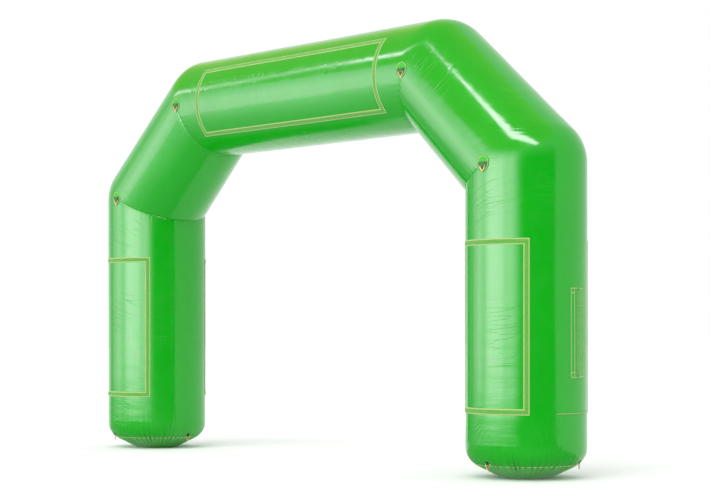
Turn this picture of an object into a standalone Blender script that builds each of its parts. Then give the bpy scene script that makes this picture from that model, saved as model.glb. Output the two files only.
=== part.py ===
"""Inflatable advertising arch with hook-and-loop banner frames, tie rings and a pressure release zip.

Frame: metres, +Z up, the banner side faces -Y, the arch spans X, origin on the floor midway between the feet.
Angles around a tube are counted from its front line: 0 faces -Y, a quarter turn faces the outer side of the arch.
Every tube is a polygon whose flat sides touch the true round tube, with one flat centred on the front line.
"""
import math

import bmesh
import bpy
from mathutils import Matrix, Vector

MM = 0.001

# Arch skin: coated tarpaulin tubes, sewn together in the mitre plane of each bend
LEG_SPACING = 5.320
SHOULDER_SPACING = 3.300
KNEE_HEIGHT = 2.550
BEAM_HEIGHT = 3.415
LEG_RADIUS = 0.500
BEAM_RADIUS_SHARE = 0.95
BEND_ROUNDING = 0.360
SKIN = 0.7 * MM
GAP = 0.3 * MM
SIDES = 36
BEND_STEPS = 3

# Foot: the leg draws in to a gathered seam, and a heavier round panel closes it
FOOT_HEIGHT = 0.280
FOOT_HEIGHT_SHARES = (0.0, 0.072, 0.18, 0.286, 0.411, 0.536, 0.68, 0.82, 1.0)
FOOT_RADIUS_SHARES = (0.39, 0.49, 0.61, 0.73, 0.85, 0.92, 0.97, 0.992, 1.0)
SEAM_STEP = 4
BASE_SKIN = 1.2 * MM

# Banner frames: hook-and-loop tape sewn on in a closed rectangle
TAPE_WIDTH = 0.050
TAPE_THICKNESS = 3.0 * MM
LEG_BANNER_LOW = 0.532
LEG_BANNER_TALL = 1.416
LEG_BANNER_WIDE = 0.824
BEAM_BANNER_LONG = 2.648
BEAM_BANNER_TALL = 0.714

# Tie points: sewn patch, webbing loop and triangular wire ring
PATCH_RADIUS = 0.067
PATCH_RISE = 0.010
PATCH_THICKNESS = 1.5 * MM
PATCH_SEGMENTS = 20
WEBBING = 1.5 * MM
LOOP_WIDTH = 0.030
LOOP_TAIL = 0.030
LOOP_TAIL_FRONT = 0.026
LOOP_PLAY = 0.5 * MM
LOOP_START_TURN = math.radians(60)
LOOP_ARC_STEPS = 10
RING_WIRE_RADIUS = 2.5 * MM
RING_WIDTH = 0.058
RING_DROP = 0.054
RING_BAR_LOW = 0.013
RING_CORNER = 0.005
RING_CORNER_STEPS = 3

# Foot tie points: the first one of each foot, then evenly round
FOOT_TIES = 3
RIGHT_FOOT_TURN = math.radians(0)
LEFT_FOOT_TURN = math.radians(-20)
FOOT_TIE_SHARE = 0.43

# Pressure release zip on the outer side of the right leg
ZIP_TURN = math.radians(100)
ZIP_LOW = 0.828
ZIP_TALL = 0.727
ZIP_END_MARGIN = 0.022
FACING_REACH = 0.105
FACING_INSET = 0.011
FACING_THICKNESS = 1.0 * MM
FACING_STEP = 4.0 * MM
ZIP_TAPE_REACH = 0.020
ZIP_TAPE_THICKNESS = 1.0 * MM
TEETH_WIDTH = 4.2 * MM
TEETH_HEIGHT = 3.0 * MM
SLIT_WIDTH = 0.014
SLIT_END = 0.010
SEAL_FLAP_REACH = 0.070
SEAL_FLAP_OVERLAP = 0.020

# Zip slider and its pull tab
SLIDER_LENGTH = 0.024
SLIDER_WIDTH = 0.014
SLIDER_PLATE = 1.5 * MM
SLIDER_PLAY = 0.4 * MM
SLIDER_BEVEL = 0.6 * MM
CROWN_WIRE_RADIUS = 1.0 * MM
CROWN_HALF_WIDTH = 4.2 * MM
CROWN_RISE = 3.8 * MM
PULL_EYE_RADIUS = 3.0 * MM
PULL_EYE_PLAY = 0.35 * MM
PULL_EYE_WIDTH = 6.0 * MM
PULL_EYE_SEGMENTS = 16
PULL_NECK = 1.8 * MM
PULL_WIDTH = 9.0 * MM
PULL_THICKNESS = 1.6 * MM
PULL_LENGTH = 0.038
PULL_BEVEL = 0.5 * MM

# Blower sleeve, turned inwards behind a sewn slit
MOUTH_HEIGHT = 0.538
MOUTH_FRONT_SHARE = 0.82
MOUTH_WIDE = 0.450
MOUTH_OPEN = 6.0 * MM
LIP_TALL = 0.027
LIP_THICKNESS = 1.2 * MM
LIP_OVERLAP = 3.0 * MM
LIP_MARGIN = 0.012
SLEEVE_LENGTH = 0.380
SLEEVE_FLAT = 4.0 * MM
SLEEVE_LEAN = 0.060
SLEEVE_STEPS = 8

# One overrun serves every cut, and one angle tells blunt edges from sharp ones
OVERRUN = 0.020
SMOOTH_BELOW = math.radians(40)

# Worked out from the sizes above
BEAM_RADIUS = LEG_RADIUS * BEAM_RADIUS_SHARE
LEG_X = LEG_SPACING / 2
SHOULDER_X = SHOULDER_SPACING / 2
KNEE_BEND = math.atan2(LEG_X - SHOULDER_X, BEAM_HEIGHT - KNEE_HEIGHT)
SHOULDER_BEND = math.pi / 2 - KNEE_BEND
FACET = 2 * math.pi / SIDES
CORNER_SCALE = 1 / math.cos(FACET / 2)
KNEE = Vector((LEG_X, KNEE_HEIGHT))
SHOULDER = Vector((SHOULDER_X, BEAM_HEIGHT))
UPWARD = Vector((0, 1))
INWARD = Vector((-1, 0))
ALONG_DIAGONAL = (SHOULDER - KNEE).normalized()
TAPER = (LEG_RADIUS - BEAM_RADIUS) / (SHOULDER - KNEE).length
LOOP_OUTER_RADIUS = RING_WIRE_RADIUS + LOOP_PLAY + WEBBING
TEETH_TOP = GAP + TEETH_HEIGHT
SLIDER_TOP = TEETH_TOP + SLIDER_PLAY + SLIDER_PLATE
CROWN_HEIGHT = SLIDER_TOP + CROWN_RISE
ZIP_MIDDLE = ZIP_LOW + ZIP_TALL / 2
ZIP_CHAIN_LOW = ZIP_LOW + ZIP_END_MARGIN
ZIP_CHAIN_TALL = ZIP_TALL - 2 * ZIP_END_MARGIN
SLIDER_HEIGHT = ZIP_CHAIN_LOW + SLIDER_LENGTH / 2
LIP_REACH = MOUTH_WIDE / 2 + LIP_MARGIN
MOUTH_PLAY = math.pi * LEG_RADIUS - LEG_BANNER_WIDE - 2 * LIP_REACH
MOUTH_TURN = (LEG_BANNER_WIDE / 2 + MOUTH_PLAY * MOUTH_FRONT_SHARE + LIP_REACH) / LEG_RADIUS

ARCH_NAME = "inflatable_arch"


def start_scene():
    """Empty the scene and make the two collections."""
    for thing in list(bpy.data.objects):
        bpy.data.objects.remove(thing, do_unlink=True)
    for name in (ARCH_NAME, "cutters"):
        bpy.context.scene.collection.children.link(bpy.data.collections.new(name))


def material(name, colour, roughness, metallic=0.0):
    """Return a Principled material."""
    paint = bpy.data.materials.new(name)
    paint.use_nodes = True
    shader = paint.node_tree.nodes["Principled BSDF"]
    shader.inputs["Base Color"].default_value = (*colour, 1.0)
    shader.inputs["Roughness"].default_value = roughness
    shader.inputs["Metallic"].default_value = metallic
    return paint


def add_object(name, mesh, paint, collection=ARCH_NAME):
    """Link a new object that carries the mesh and its material."""
    thing = bpy.data.objects.new(name, mesh)
    bpy.data.collections[collection].objects.link(thing)
    if paint:
        mesh.materials.append(paint)
    return thing


def mesh_of(name, shape, smooth=False):
    """Turn a bmesh into mesh data, shaded smooth across its blunt edges if asked."""
    mesh = bpy.data.meshes.new(name)
    shape.to_mesh(mesh)
    shape.free()
    if smooth:
        mesh.shade_smooth()
        mesh.set_sharp_from_angle(angle=SMOOTH_BELOW)
    return mesh


def solidify(thing, thickness, outward):
    """Give an open sheet its wall, outwards or inwards from the faces as drawn."""
    wall = thing.modifiers.new("wall", "SOLIDIFY")
    wall.thickness = thickness
    wall.offset = 1.0 if outward else -1.0
    wall.use_even_offset = True


def bevel(thing, width):
    """Round the edges of a hard piece."""
    edge = thing.modifiers.new("edges", "BEVEL")
    edge.width = width
    edge.segments = 1
    edge.limit_method = "ANGLE"


def combine(thing, other, operation):
    """Join or cut a piece with another body, which becomes a hidden guide."""
    step = thing.modifiers.new(operation.lower(), "BOOLEAN")
    step.operation = operation
    step.solver = "EXACT"
    step.object = other
    other.hide_render = True
    other.display_type = "WIRE"


def mirror_of(source, name, axis):
    """Copy a piece that is drawn in world places to the other side of the plane square to the axis."""
    mesh = source.data.copy()
    mesh.transform(Matrix.Scale(-1.0, 4, axis))
    mesh.flip_normals()
    copy = bpy.data.objects.new(name, mesh)
    bpy.data.collections[ARCH_NAME].objects.link(copy)
    for step in source.modifiers:
        if step.type == "SOLIDIFY":
            solidify(copy, step.thickness, step.offset > 0)
    return copy


def bend_corners(angle):
    """Where one line of the skin would meet the knee and the shoulder if its corners were sharp."""
    leg_out = LEG_RADIUS * CORNER_SCALE * math.sin(angle)
    beam_out = BEAM_RADIUS * CORNER_SCALE * math.sin(angle)
    knee = KNEE + Vector((leg_out, leg_out * math.tan(KNEE_BEND / 2)))
    shoulder = SHOULDER + Vector((beam_out * math.tan(SHOULDER_BEND / 2), beam_out))
    return knee, shoulder


def along_bend(corner, before, after, rounding, run):
    """Point on a rounded corner, at a length of run past its middle, or before it if negative."""
    half_turn = before.angle(after) / 2
    outward = (before - after).normalized()
    onward = (before + after).normalized() * (1 if run > 0 else -1)
    centre = corner - outward * rounding / math.cos(half_turn)
    on_arc = min(abs(run), rounding * half_turn)
    turned = on_arc / rounding if rounding else half_turn
    point = centre + (outward * math.cos(turned) + onward * math.sin(turned)) * rounding
    straight = after if run > 0 else -before
    return point + straight * (abs(run) - on_arc)


def skin_point(angle, at_knee, run):
    """Point of the skin near the right knee or shoulder. The outer side of a bend is round, the inner sharp."""
    knee, shoulder = bend_corners(angle)
    rise = (shoulder - knee).normalized()
    rounding = BEND_ROUNDING * math.sqrt(max(0.0, math.sin(angle)))
    if at_knee:
        spot = along_bend(knee, UPWARD, rise, rounding, run)
    else:
        spot = along_bend(shoulder, rise, INWARD, rounding, run)
    share = (spot - knee).dot(rise) / (shoulder - knee).length
    share = min(max(share, 0.0), 1.0)
    radius = (LEG_RADIUS + (BEAM_RADIUS - LEG_RADIUS) * share) * CORNER_SCALE
    return Vector((spot.x, -radius * math.cos(angle), spot.y))


def corner_angles():
    """Angles of the polygon's corners, so that a flat lies on the front line."""
    return [(step + 0.5) * FACET for step in range(SIDES)]


def bend_ring(at_knee, run):
    """One ring of skin points near a bend of the right half."""
    return [skin_point(angle, at_knee, run) for angle in corner_angles()]


def bend_runs(bend):
    """Distances of the rings from the middle of a bend, the first one half a gap away."""
    reach = BEND_ROUNDING * bend / 2
    return [GAP / 2] + [reach * (step + 1) / BEND_STEPS for step in range(BEND_STEPS)]


def level_ring(radius, height):
    """One level ring of the right leg."""
    ring = []
    for angle in corner_angles():
        out = radius * CORNER_SCALE
        ring.append(Vector((LEG_X + out * math.sin(angle), -out * math.cos(angle), height)))
    return ring


def foot_ring(step):
    """Ring of the foot's profile."""
    return level_ring(LEG_RADIUS * FOOT_RADIUS_SHARES[step], FOOT_HEIGHT * FOOT_HEIGHT_SHARES[step])


def base_rim():
    """Ring of the base just below the gathered seam, clear of the leg's edge."""
    below, seam, above = [foot_ring(SEAM_STEP + step) for step in (-1, 0, 1)]
    slope, leg_slope = seam[0] - below[0], above[0] - seam[0]
    share = 1 - (GAP + SKIN * math.sin(slope.angle(leg_slope))) / slope.length
    return [low.lerp(high, share) for low, high in zip(below, seam)]


def loft(name, rings, paint, closed_first=False):
    """Open tube through rings of equally many points, with its first ring closed if asked."""
    shape = bmesh.new()
    rows = [[shape.verts.new(point) for point in ring] for ring in rings]
    count = len(rings[0])
    for low, high in zip(rows, rows[1:]):
        for step in range(count):
            after = (step + 1) % count
            shape.faces.new((low[step], low[after], high[after], high[step]))
    if closed_first:
        shape.faces.new(list(reversed(rows[0])))
    return add_object(name, mesh_of(name, shape, smooth=True), paint)


def build_skin(paints):
    """Legs, diagonals, beam and foot bases. Returns the right leg, which is cut later."""
    knee_runs = bend_runs(KNEE_BEND)
    shoulder_runs = bend_runs(SHOULDER_BEND)
    foot = [foot_ring(step) for step in range(SEAM_STEP, len(FOOT_HEIGHT_SHARES))]
    rings = foot + [bend_ring(True, -run) for run in reversed(knee_runs)]
    right_leg = loft("right_leg_tube", rings, paints["skin"])
    solidify(right_leg, SKIN, False)
    mirror_of(right_leg, "left_leg_tube", Vector((1, 0, 0)))

    rings = [bend_ring(True, run) for run in knee_runs]
    rings += [bend_ring(False, -run) for run in reversed(shoulder_runs)]
    diagonal = loft("right_diagonal_tube", rings, paints["skin"])
    solidify(diagonal, SKIN, False)
    mirror_of(diagonal, "left_diagonal_tube", Vector((1, 0, 0)))

    half = [bend_ring(False, run) for run in shoulder_runs]
    other_half = [[Vector((-point.x, point.y, point.z)) for point in ring] for ring in reversed(half)]
    beam = loft("beam_tube", half + other_half, paints["skin"])
    solidify(beam, SKIN, False)

    rings = [foot_ring(step) for step in range(SEAM_STEP)] + [base_rim()]
    base = loft("right_foot_base", rings, paints["base"], closed_first=True)
    solidify(base, BASE_SKIN, False)
    mirror_of(base, "left_foot_base", Vector((1, 0, 0)))
    return right_leg


def flat_angle(angle):
    """Angle of the middle of the flat that an angle falls on."""
    return round(angle / FACET) * FACET


def leg_wall(angle, lift, height):
    """Point at a height above the flats of the right leg."""
    out = (LEG_RADIUS + lift) / math.cos(angle - flat_angle(angle))
    return Vector((LEG_X + out * math.sin(angle), -out * math.cos(angle), height))


def beam_wall(angle, lift, place):
    """Point at a height above the flats of the beam, angles counted from the front line upwards."""
    out = (BEAM_RADIUS + lift) / math.cos(angle - flat_angle(angle))
    return Vector((place, -out * math.cos(angle), BEAM_HEIGHT + out * math.sin(angle)))


def with_ridges(angles):
    """Add the polygon's ridges between the first and the last angle, so a sheet bends only there."""
    low, high = min(angles), max(angles)
    first = math.ceil(low / FACET - 0.5)
    last = math.floor(high / FACET - 0.5)
    ridges = [(step + 0.5) * FACET for step in range(first, last + 1)]
    return sorted(set(angles) | set(ridges))


def sheet(name, columns, rows, place, keep, paint):
    """Open sheet on a grid of columns and rows. The keep test says which cells are there."""
    shape = bmesh.new()
    points = {}

    def point(column, row):
        """Make each corner of the grid once, when a cell asks for it."""
        if (column, row) not in points:
            points[column, row] = shape.verts.new(place(column, row))
        return points[column, row]

    for left, right in zip(columns, columns[1:]):
        for low, high in zip(rows, rows[1:]):
            if keep((left + right) / 2, (low + high) / 2):
                shape.faces.new((point(left, low), point(right, low), point(right, high), point(left, high)))
    return add_object(name, mesh_of(name, shape, smooth=True), paint)


def tape_frame(name, wall, radius, wide, low, high, paint):
    """Rectangle of tape that follows a tube: wide round the tube, from low to high along it."""
    half = wide / 2 / radius
    inner = half - TAPE_WIDTH / radius
    step = TAPE_WIDTH if high > low else -TAPE_WIDTH
    rows = [low, low + step, high - step, high]
    inner_low, inner_high = sorted(rows[1:3])

    def on_tape(angle, place):
        """Tell whether a cell lies on the tape and not in the window."""
        return abs(angle) > inner or not inner_low < place < inner_high

    columns = with_ridges([-half, -inner, inner, half])
    frame = sheet(name, columns, rows, lambda angle, place: wall(angle, GAP, place), on_tape, paint)
    solidify(frame, TAPE_THICKNESS, True)
    return frame


def build_banner_frames(paints):
    """Tape frames on the front of both legs and the beam, and the same behind."""
    high = LEG_BANNER_LOW + LEG_BANNER_TALL
    leg = tape_frame(
        "front_right_banner_tape", leg_wall, LEG_RADIUS, LEG_BANNER_WIDE, LEG_BANNER_LOW, high, paints["tape"]
    )
    reach = BEAM_BANNER_LONG / 2
    beam = tape_frame(
        "front_beam_banner_tape", beam_wall, BEAM_RADIUS, BEAM_BANNER_TALL, reach, -reach, paints["tape"]
    )
    left = mirror_of(leg, "front_left_banner_tape", Vector((1, 0, 0)))
    for front, name in ((leg, "rear_right_banner_tape"), (left, "rear_left_banner_tape"), (beam, "rear_beam_banner_tape")):
        mirror_of(front, name, Vector((0, 1, 0)))


def flats_depth(radius, off):
    """How far the front flats of a tube stand before its axis, at a length off the axis."""
    turns = (-FACET, 0.0, FACET)
    return min((radius - off * math.sin(turn)) / math.cos(turn) for turn in turns)


def patch_depth(spot, at_knee):
    """How far the skin stands before the arch's middle plane at a spot near a bend."""
    off = spot - (KNEE if at_knee else SHOULDER)
    past = off.dot(mitre_normal(at_knee))
    if at_knee:
        straight = flats_depth(LEG_RADIUS, off.x)
        run = past / math.cos(KNEE_BEND / 2)
        radius = LEG_RADIUS - TAPER * run
    else:
        straight = flats_depth(BEAM_RADIUS, off.y)
        run = -past / math.cos(SHOULDER_BEND / 2)
        radius = BEAM_RADIUS + TAPER * run
    outward = Vector((ALONG_DIAGONAL.y, -ALONG_DIAGONAL.x))
    slanted = flats_depth(radius, off.dot(outward))
    if abs(run) < GAP:
        return max(straight, slanted)
    return slanted if run > 0 else straight


def mitre_normal(at_knee):
    """Direction square to the mitre plane of a bend, onward from the foot to the beam."""
    if at_knee:
        return (UPWARD + ALONG_DIAGONAL).normalized()
    return (ALONG_DIAGONAL + INWARD).normalized()


def split_disc(shape, point, normal):
    """Split a flat shape along the plane through a point."""
    bmesh.ops.bisect_plane(
        shape,
        geom=list(shape.verts) + list(shape.edges) + list(shape.faces),
        plane_co=(point.x, 0, point.y),
        plane_no=(normal.x, 0, normal.y),
    )


def tie_patch(name, at_knee, paint):
    """Round patch pressed onto the flats at the front of a right-hand bend."""
    middle = KNEE if at_knee else SHOULDER
    shape = bmesh.new()
    bmesh.ops.create_circle(shape, cap_ends=True, radius=PATCH_RADIUS, segments=PATCH_SEGMENTS)
    for vert in shape.verts:
        vert.co = Vector((middle.x + vert.co.x, 0, middle.y + PATCH_RISE + vert.co.y))
    split_disc(shape, middle, mitre_normal(at_knee))
    half_flat = math.tan(FACET / 2)
    for side in (-0.5, 0.5):
        knee, shoulder = bend_corners(side * FACET)
        rise = shoulder - knee
        split_disc(shape, knee, Vector((rise.y, -rise.x)))
        if at_knee:
            split_disc(shape, middle + Vector((2 * side * LEG_RADIUS * half_flat, 0)), -INWARD)
        else:
            split_disc(shape, middle + Vector((0, 2 * side * BEAM_RADIUS * half_flat)), UPWARD)
    bmesh.ops.remove_doubles(shape, verts=list(shape.verts), dist=GAP)
    for vert in shape.verts:
        vert.co.y = -patch_depth(Vector((vert.co.x, vert.co.z)), at_knee) - GAP
    for face in shape.faces:
        face.normal_update()
        if face.normal.y > 0:
            face.normal_flip()
    patch = add_object(name, mesh_of(name, shape), paint)
    solidify(patch, PATCH_THICKNESS, True)
    return patch


def loop_mesh():
    """Webbing strip folded round the ring's bar: a tail up the wall, round the bar and up again.

    The bar lies on X through the origin, and the wall is towards +Y.
    """
    middle = LOOP_OUTER_RADIUS - WEBBING / 2
    path = [(middle, LOOP_TAIL)]
    sweep = 2 * math.pi - LOOP_START_TURN
    for step in range(LOOP_ARC_STEPS + 1):
        turn = -sweep * step / LOOP_ARC_STEPS
        path.append((middle * math.cos(turn), middle * math.sin(turn)))
    path.append((middle - WEBBING - GAP, middle + WEBBING))
    path.append((middle - WEBBING - GAP, LOOP_TAIL_FRONT))
    shape = bmesh.new()
    half = LOOP_WIDTH / 2
    edges = [[shape.verts.new((side, y, z)) for side in (-half, half)] for y, z in path]
    for low, high in zip(edges, edges[1:]):
        shape.faces.new((low[0], high[0], high[1], low[1]))
    return mesh_of("webbing_loop", shape, smooth=True)


def ring_mesh():
    """Triangular wire ring that hangs from its straight bar, which lies on X through the origin."""
    corners = [Vector((-RING_WIDTH / 2, 0)), Vector((0, -RING_DROP)), Vector((RING_WIDTH / 2, 0))]
    path = []
    for step, corner in enumerate(corners):
        before = (corner - corners[step - 1]).normalized()
        after = (corners[(step + 1) % len(corners)] - corner).normalized()
        reach = RING_CORNER * before.angle(after) / 2
        for part in range(RING_CORNER_STEPS + 1):
            run = reach * (2 * part / RING_CORNER_STEPS - 1)
            path.append(along_bend(corner, before, after, RING_CORNER, run))
    wire = bpy.data.curves.new("ring_wire", "CURVE")
    wire.dimensions = "3D"
    wire.bevel_depth = RING_WIRE_RADIUS
    wire.bevel_resolution = 1
    spline = wire.splines.new("POLY")
    spline.points.add(len(path) - 1)
    for point, place in zip(spline.points, path):
        point.co = (place.x, 0, place.y, 1)
    spline.use_cyclic_u = True
    guide = bpy.data.objects.new("ring_wire", wire)
    bpy.data.collections["cutters"].objects.link(guide)
    bpy.context.view_layer.update()
    mesh = bpy.data.meshes.new_from_object(guide.evaluated_get(bpy.context.evaluated_depsgraph_get()))
    bpy.data.objects.remove(guide)
    mesh.shade_smooth()
    return mesh


def hang(name, mesh, place, turn, tilt, paint):
    """Set a loop or a ring with its bar at a place, facing out by the turn, tilted with the wall."""
    thing = bpy.data.objects.new(name, mesh)
    bpy.data.collections[ARCH_NAME].objects.link(thing)
    if not mesh.materials:
        mesh.materials.append(paint)
    thing.location = place
    thing.rotation_euler = (tilt, 0, turn)
    return thing


def build_bend_ties(paints, loop, ring):
    """Patch, loop and ring on both faces of the four bends."""
    for bend, at_knee in (("knee", True), ("shoulder", False)):
        middle = KNEE if at_knee else SHOULDER
        low, high = -RING_BAR_LOW - LOOP_OUTER_RADIUS, LOOP_TAIL - RING_BAR_LOW
        corners = [Vector((side, end)) for side in (-LOOP_WIDTH / 2, LOOP_WIDTH / 2) for end in (low, high)]
        proud = max(patch_depth(middle + corner, at_knee) for corner in corners)
        patch = tie_patch("front_right_" + bend + "_patch", at_knee, paints["skin"])
        left = mirror_of(patch, "front_left_" + bend + "_patch", Vector((1, 0, 0)))
        mirror_of(patch, "rear_right_" + bend + "_patch", Vector((0, 1, 0)))
        mirror_of(left, "rear_left_" + bend + "_patch", Vector((0, 1, 0)))
        depth = proud + GAP + PATCH_THICKNESS + GAP + LOOP_OUTER_RADIUS
        for face, turn, out in (("front", 0.0, -depth), ("rear", math.pi, depth)):
            for side, x in (("right", middle.x), ("left", -middle.x)):
                stem = face + "_" + side + "_" + bend
                place = (x, out, middle.y - RING_BAR_LOW)
                webbing = hang(stem + "_loop", loop, place, turn, 0.0, paints["webbing"])
                solidify(webbing, WEBBING, True)
                webbing.modifiers["wall"].offset = 0.0
                hang(stem + "_ring", ring, place, turn, 0.0, paints["brass"])


def build_foot_ties(paints, loop, ring):
    """Dark webbing loop and ring at the gathered seam of each foot."""
    low = SEAM_STEP
    radius = [LEG_RADIUS * FOOT_RADIUS_SHARES[step] for step in (low, low + 1)]
    height = [FOOT_HEIGHT * FOOT_HEIGHT_SHARES[step] for step in (low, low + 1)]
    lean = math.atan2(radius[1] - radius[0], height[1] - height[0])
    lift = GAP + LOOP_OUTER_RADIUS
    out = radius[0] + (radius[1] - radius[0]) * FOOT_TIE_SHARE + lift * math.cos(lean)
    bar_height = height[0] + (height[1] - height[0]) * FOOT_TIE_SHARE - lift * math.sin(lean)
    for side, x, first in (("right", LEG_X, RIGHT_FOOT_TURN), ("left", -LEG_X, LEFT_FOOT_TURN)):
        for number in range(FOOT_TIES):
            turn = first + 2 * math.pi * number / FOOT_TIES
            stem = side + "_foot_" + ("front", "second", "third")[number]
            place = (x + out * math.sin(turn), -out * math.cos(turn), bar_height)
            webbing = hang(stem + "_loop", loop, place, turn, lean, paints["dark_webbing"])
            solidify(webbing, WEBBING, True)
            webbing.modifiers["wall"].offset = 0.0
            hang(stem + "_ring", ring, place, turn, 0.0, paints["brass"])


def zip_sheet(name, section, low, high, thickness, outward, paint, turn=ZIP_TURN):
    """Sheet along the right leg. The section gives its distance from the zip's middle line and its height."""
    heights = {turn + off / LEG_RADIUS: lift for off, lift in section}
    columns = with_ridges(list(heights))
    known = sorted(heights)

    def lift_at(angle):
        """Height of the section at an angle, in line between its points."""
        if angle in heights:
            return heights[angle]
        after = next(step for step, value in enumerate(known) if value > angle)
        first, second = known[after - 1], known[after]
        share = (angle - first) / (second - first)
        return heights[first] + (heights[second] - heights[first]) * share

    piece = sheet(
        name,
        columns,
        [low, high],
        lambda angle, height: leg_wall(angle, lift_at(angle), height),
        lambda angle, height: True,
        paint,
    )
    solidify(piece, thickness, outward)
    return piece


def zip_frame():
    """Matrix from the zip's own directions (across, out of the wall, up) to the world."""
    across = Vector((math.cos(ZIP_TURN), math.sin(ZIP_TURN), 0))
    out = Vector((math.sin(ZIP_TURN), -math.cos(ZIP_TURN), 0))
    matrix = Matrix.Identity(4)
    matrix.col[0].xyz = across
    matrix.col[1].xyz = -out
    matrix.col[3].xyz = Vector((LEG_X, 0, 0)) + out * LEG_RADIUS
    return matrix


def prism(name, outline, start, end, axis, paint, collection=ARCH_NAME):
    """Outline in the plane square to an axis (0 for X, 2 for Z), drawn out from start to end."""
    shape = bmesh.new()
    corners = []
    for first, second in outline:
        corners.append(shape.verts.new((start, first, second) if axis == 0 else (first, second, start)))
    face = shape.faces.new(corners)
    moved = bmesh.ops.extrude_face_region(shape, geom=[face])
    along = Vector((end - start, 0, 0)) if axis == 0 else Vector((0, 0, end - start))
    bmesh.ops.translate(shape, vec=along, verts=[part for part in moved["geom"] if isinstance(part, bmesh.types.BMVert)])
    bmesh.ops.recalc_face_normals(shape, faces=list(shape.faces))
    return add_object(name, mesh_of(name, shape), paint, collection)


def rectangle(low, high):
    """Corners of a rectangle in order."""
    return [(low[0], low[1]), (high[0], low[1]), (high[0], high[1]), (low[0], high[1])]


def zip_half(name, side, paint):
    """One zip tape with its row of teeth, side 1 towards the rear and -1 towards the front."""
    inner = GAP / 2
    outline = [
        (inner, GAP),
        (inner, TEETH_TOP),
        (inner + TEETH_WIDTH, TEETH_TOP),
        (inner + TEETH_WIDTH, GAP + ZIP_TAPE_THICKNESS),
        (ZIP_TAPE_REACH, GAP + ZIP_TAPE_THICKNESS),
        (ZIP_TAPE_REACH, GAP),
    ]
    outline = [(side * across, -lift) for across, lift in outline]
    half = prism(name, outline, ZIP_CHAIN_LOW, ZIP_CHAIN_LOW + ZIP_CHAIN_TALL, 2, paint)
    half.data.transform(zip_frame())


def tube_guide(name, path, radius):
    """Round wire along a path, as a mesh that a piece can be joined with."""
    wire = bpy.data.curves.new(name, "CURVE")
    wire.dimensions = "3D"
    wire.bevel_depth = radius
    wire.bevel_resolution = 2
    wire.use_fill_caps = True
    spline = wire.splines.new("POLY")
    spline.points.add(len(path) - 1)
    for point, place in zip(spline.points, path):
        point.co = (*place, 1)
    guide = bpy.data.objects.new(name, wire)
    bpy.data.collections["cutters"].objects.link(guide)
    bpy.context.view_layer.update()
    mesh = bpy.data.meshes.new_from_object(guide.evaluated_get(bpy.context.evaluated_depsgraph_get()))
    bpy.data.objects.remove(guide)
    shape = bmesh.new()
    shape.from_mesh(mesh)
    bmesh.ops.remove_doubles(shape, verts=list(shape.verts), dist=GAP / 10)
    shape.to_mesh(mesh)
    shape.free()
    return add_object(name, mesh, None, "cutters")


def build_slider(paints):
    """Zip slider: a channel over the teeth with a crown bar, and the pull tab whose eye turns on the bar."""
    frame = zip_frame()
    inner = TEETH_WIDTH + GAP / 2 + SLIDER_PLAY
    foot = GAP + ZIP_TAPE_THICKNESS + SLIDER_PLAY
    roof = TEETH_TOP + SLIDER_PLAY
    half = SLIDER_WIDTH / 2
    outline = [
        (-half, -foot),
        (-inner, -foot),
        (-inner, -roof),
        (inner, -roof),
        (inner, -foot),
        (half, -foot),
        (half, -SLIDER_TOP),
        (-half, -SLIDER_TOP),
    ]
    slider = prism("zip_slider", outline, -SLIDER_LENGTH / 2, SLIDER_LENGTH / 2, 2, paints["zip_metal"])
    bevel(slider, SLIDER_BEVEL)
    base = -(roof + SLIDER_PLATE / 2)
    crown_path = [
        (-CROWN_HALF_WIDTH, base, 0),
        (-CROWN_HALF_WIDTH, -CROWN_HEIGHT, 0),
        (CROWN_HALF_WIDTH, -CROWN_HEIGHT, 0),
        (CROWN_HALF_WIDTH, base, 0),
    ]
    crown = tube_guide("crown_bar", crown_path, CROWN_WIRE_RADIUS)
    combine(slider, crown, "UNION")
    out = Matrix.Translation((0, 0, SLIDER_HEIGHT))
    for thing in (slider, crown):
        thing.matrix_world = frame @ out

    tab = rectangle((-PULL_THICKNESS / 2, -PULL_LENGTH), (PULL_THICKNESS / 2, -PULL_EYE_RADIUS / 2))
    pull = prism("zip_pull", tab, -PULL_WIDTH / 2, PULL_WIDTH / 2, 0, paints["zip_metal"])
    bevel(pull, PULL_BEVEL)
    eye = turned_guide("pull_eye", PULL_EYE_RADIUS, PULL_EYE_WIDTH)
    bore = turned_guide("pull_bore", CROWN_WIRE_RADIUS + PULL_EYE_PLAY, PULL_WIDTH + OVERRUN)
    shoulder = rectangle((-PULL_THICKNESS, -PULL_EYE_RADIUS - PULL_NECK), (PULL_THICKNESS, 0))
    notch = prism("pull_notch", shoulder, PULL_EYE_WIDTH / 2, PULL_WIDTH, 0, None, "cutters")
    other_notch = prism("pull_other_notch", shoulder, -PULL_WIDTH, -PULL_EYE_WIDTH / 2, 0, None, "cutters")
    combine(pull, notch, "DIFFERENCE")
    combine(pull, other_notch, "DIFFERENCE")
    combine(pull, eye, "UNION")
    combine(pull, bore, "DIFFERENCE")
    hinge = frame @ Matrix.Translation((0, -CROWN_HEIGHT, SLIDER_HEIGHT))
    for thing in (pull, eye, bore, notch, other_notch):
        thing.matrix_world = hinge


def turned_guide(name, radius, width):
    """Cylinder along X, for an eye or its bore."""
    shape = bmesh.new()
    bmesh.ops.create_cone(
        shape, cap_ends=True, segments=PULL_EYE_SEGMENTS, radius1=radius, radius2=radius, depth=width
    )
    bmesh.ops.rotate(shape, cent=(0, 0, 0), matrix=Matrix.Rotation(math.pi / 2, 3, "Y"), verts=list(shape.verts))
    return add_object(name, mesh_of(name, shape, smooth=True), None, "cutters")


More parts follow.
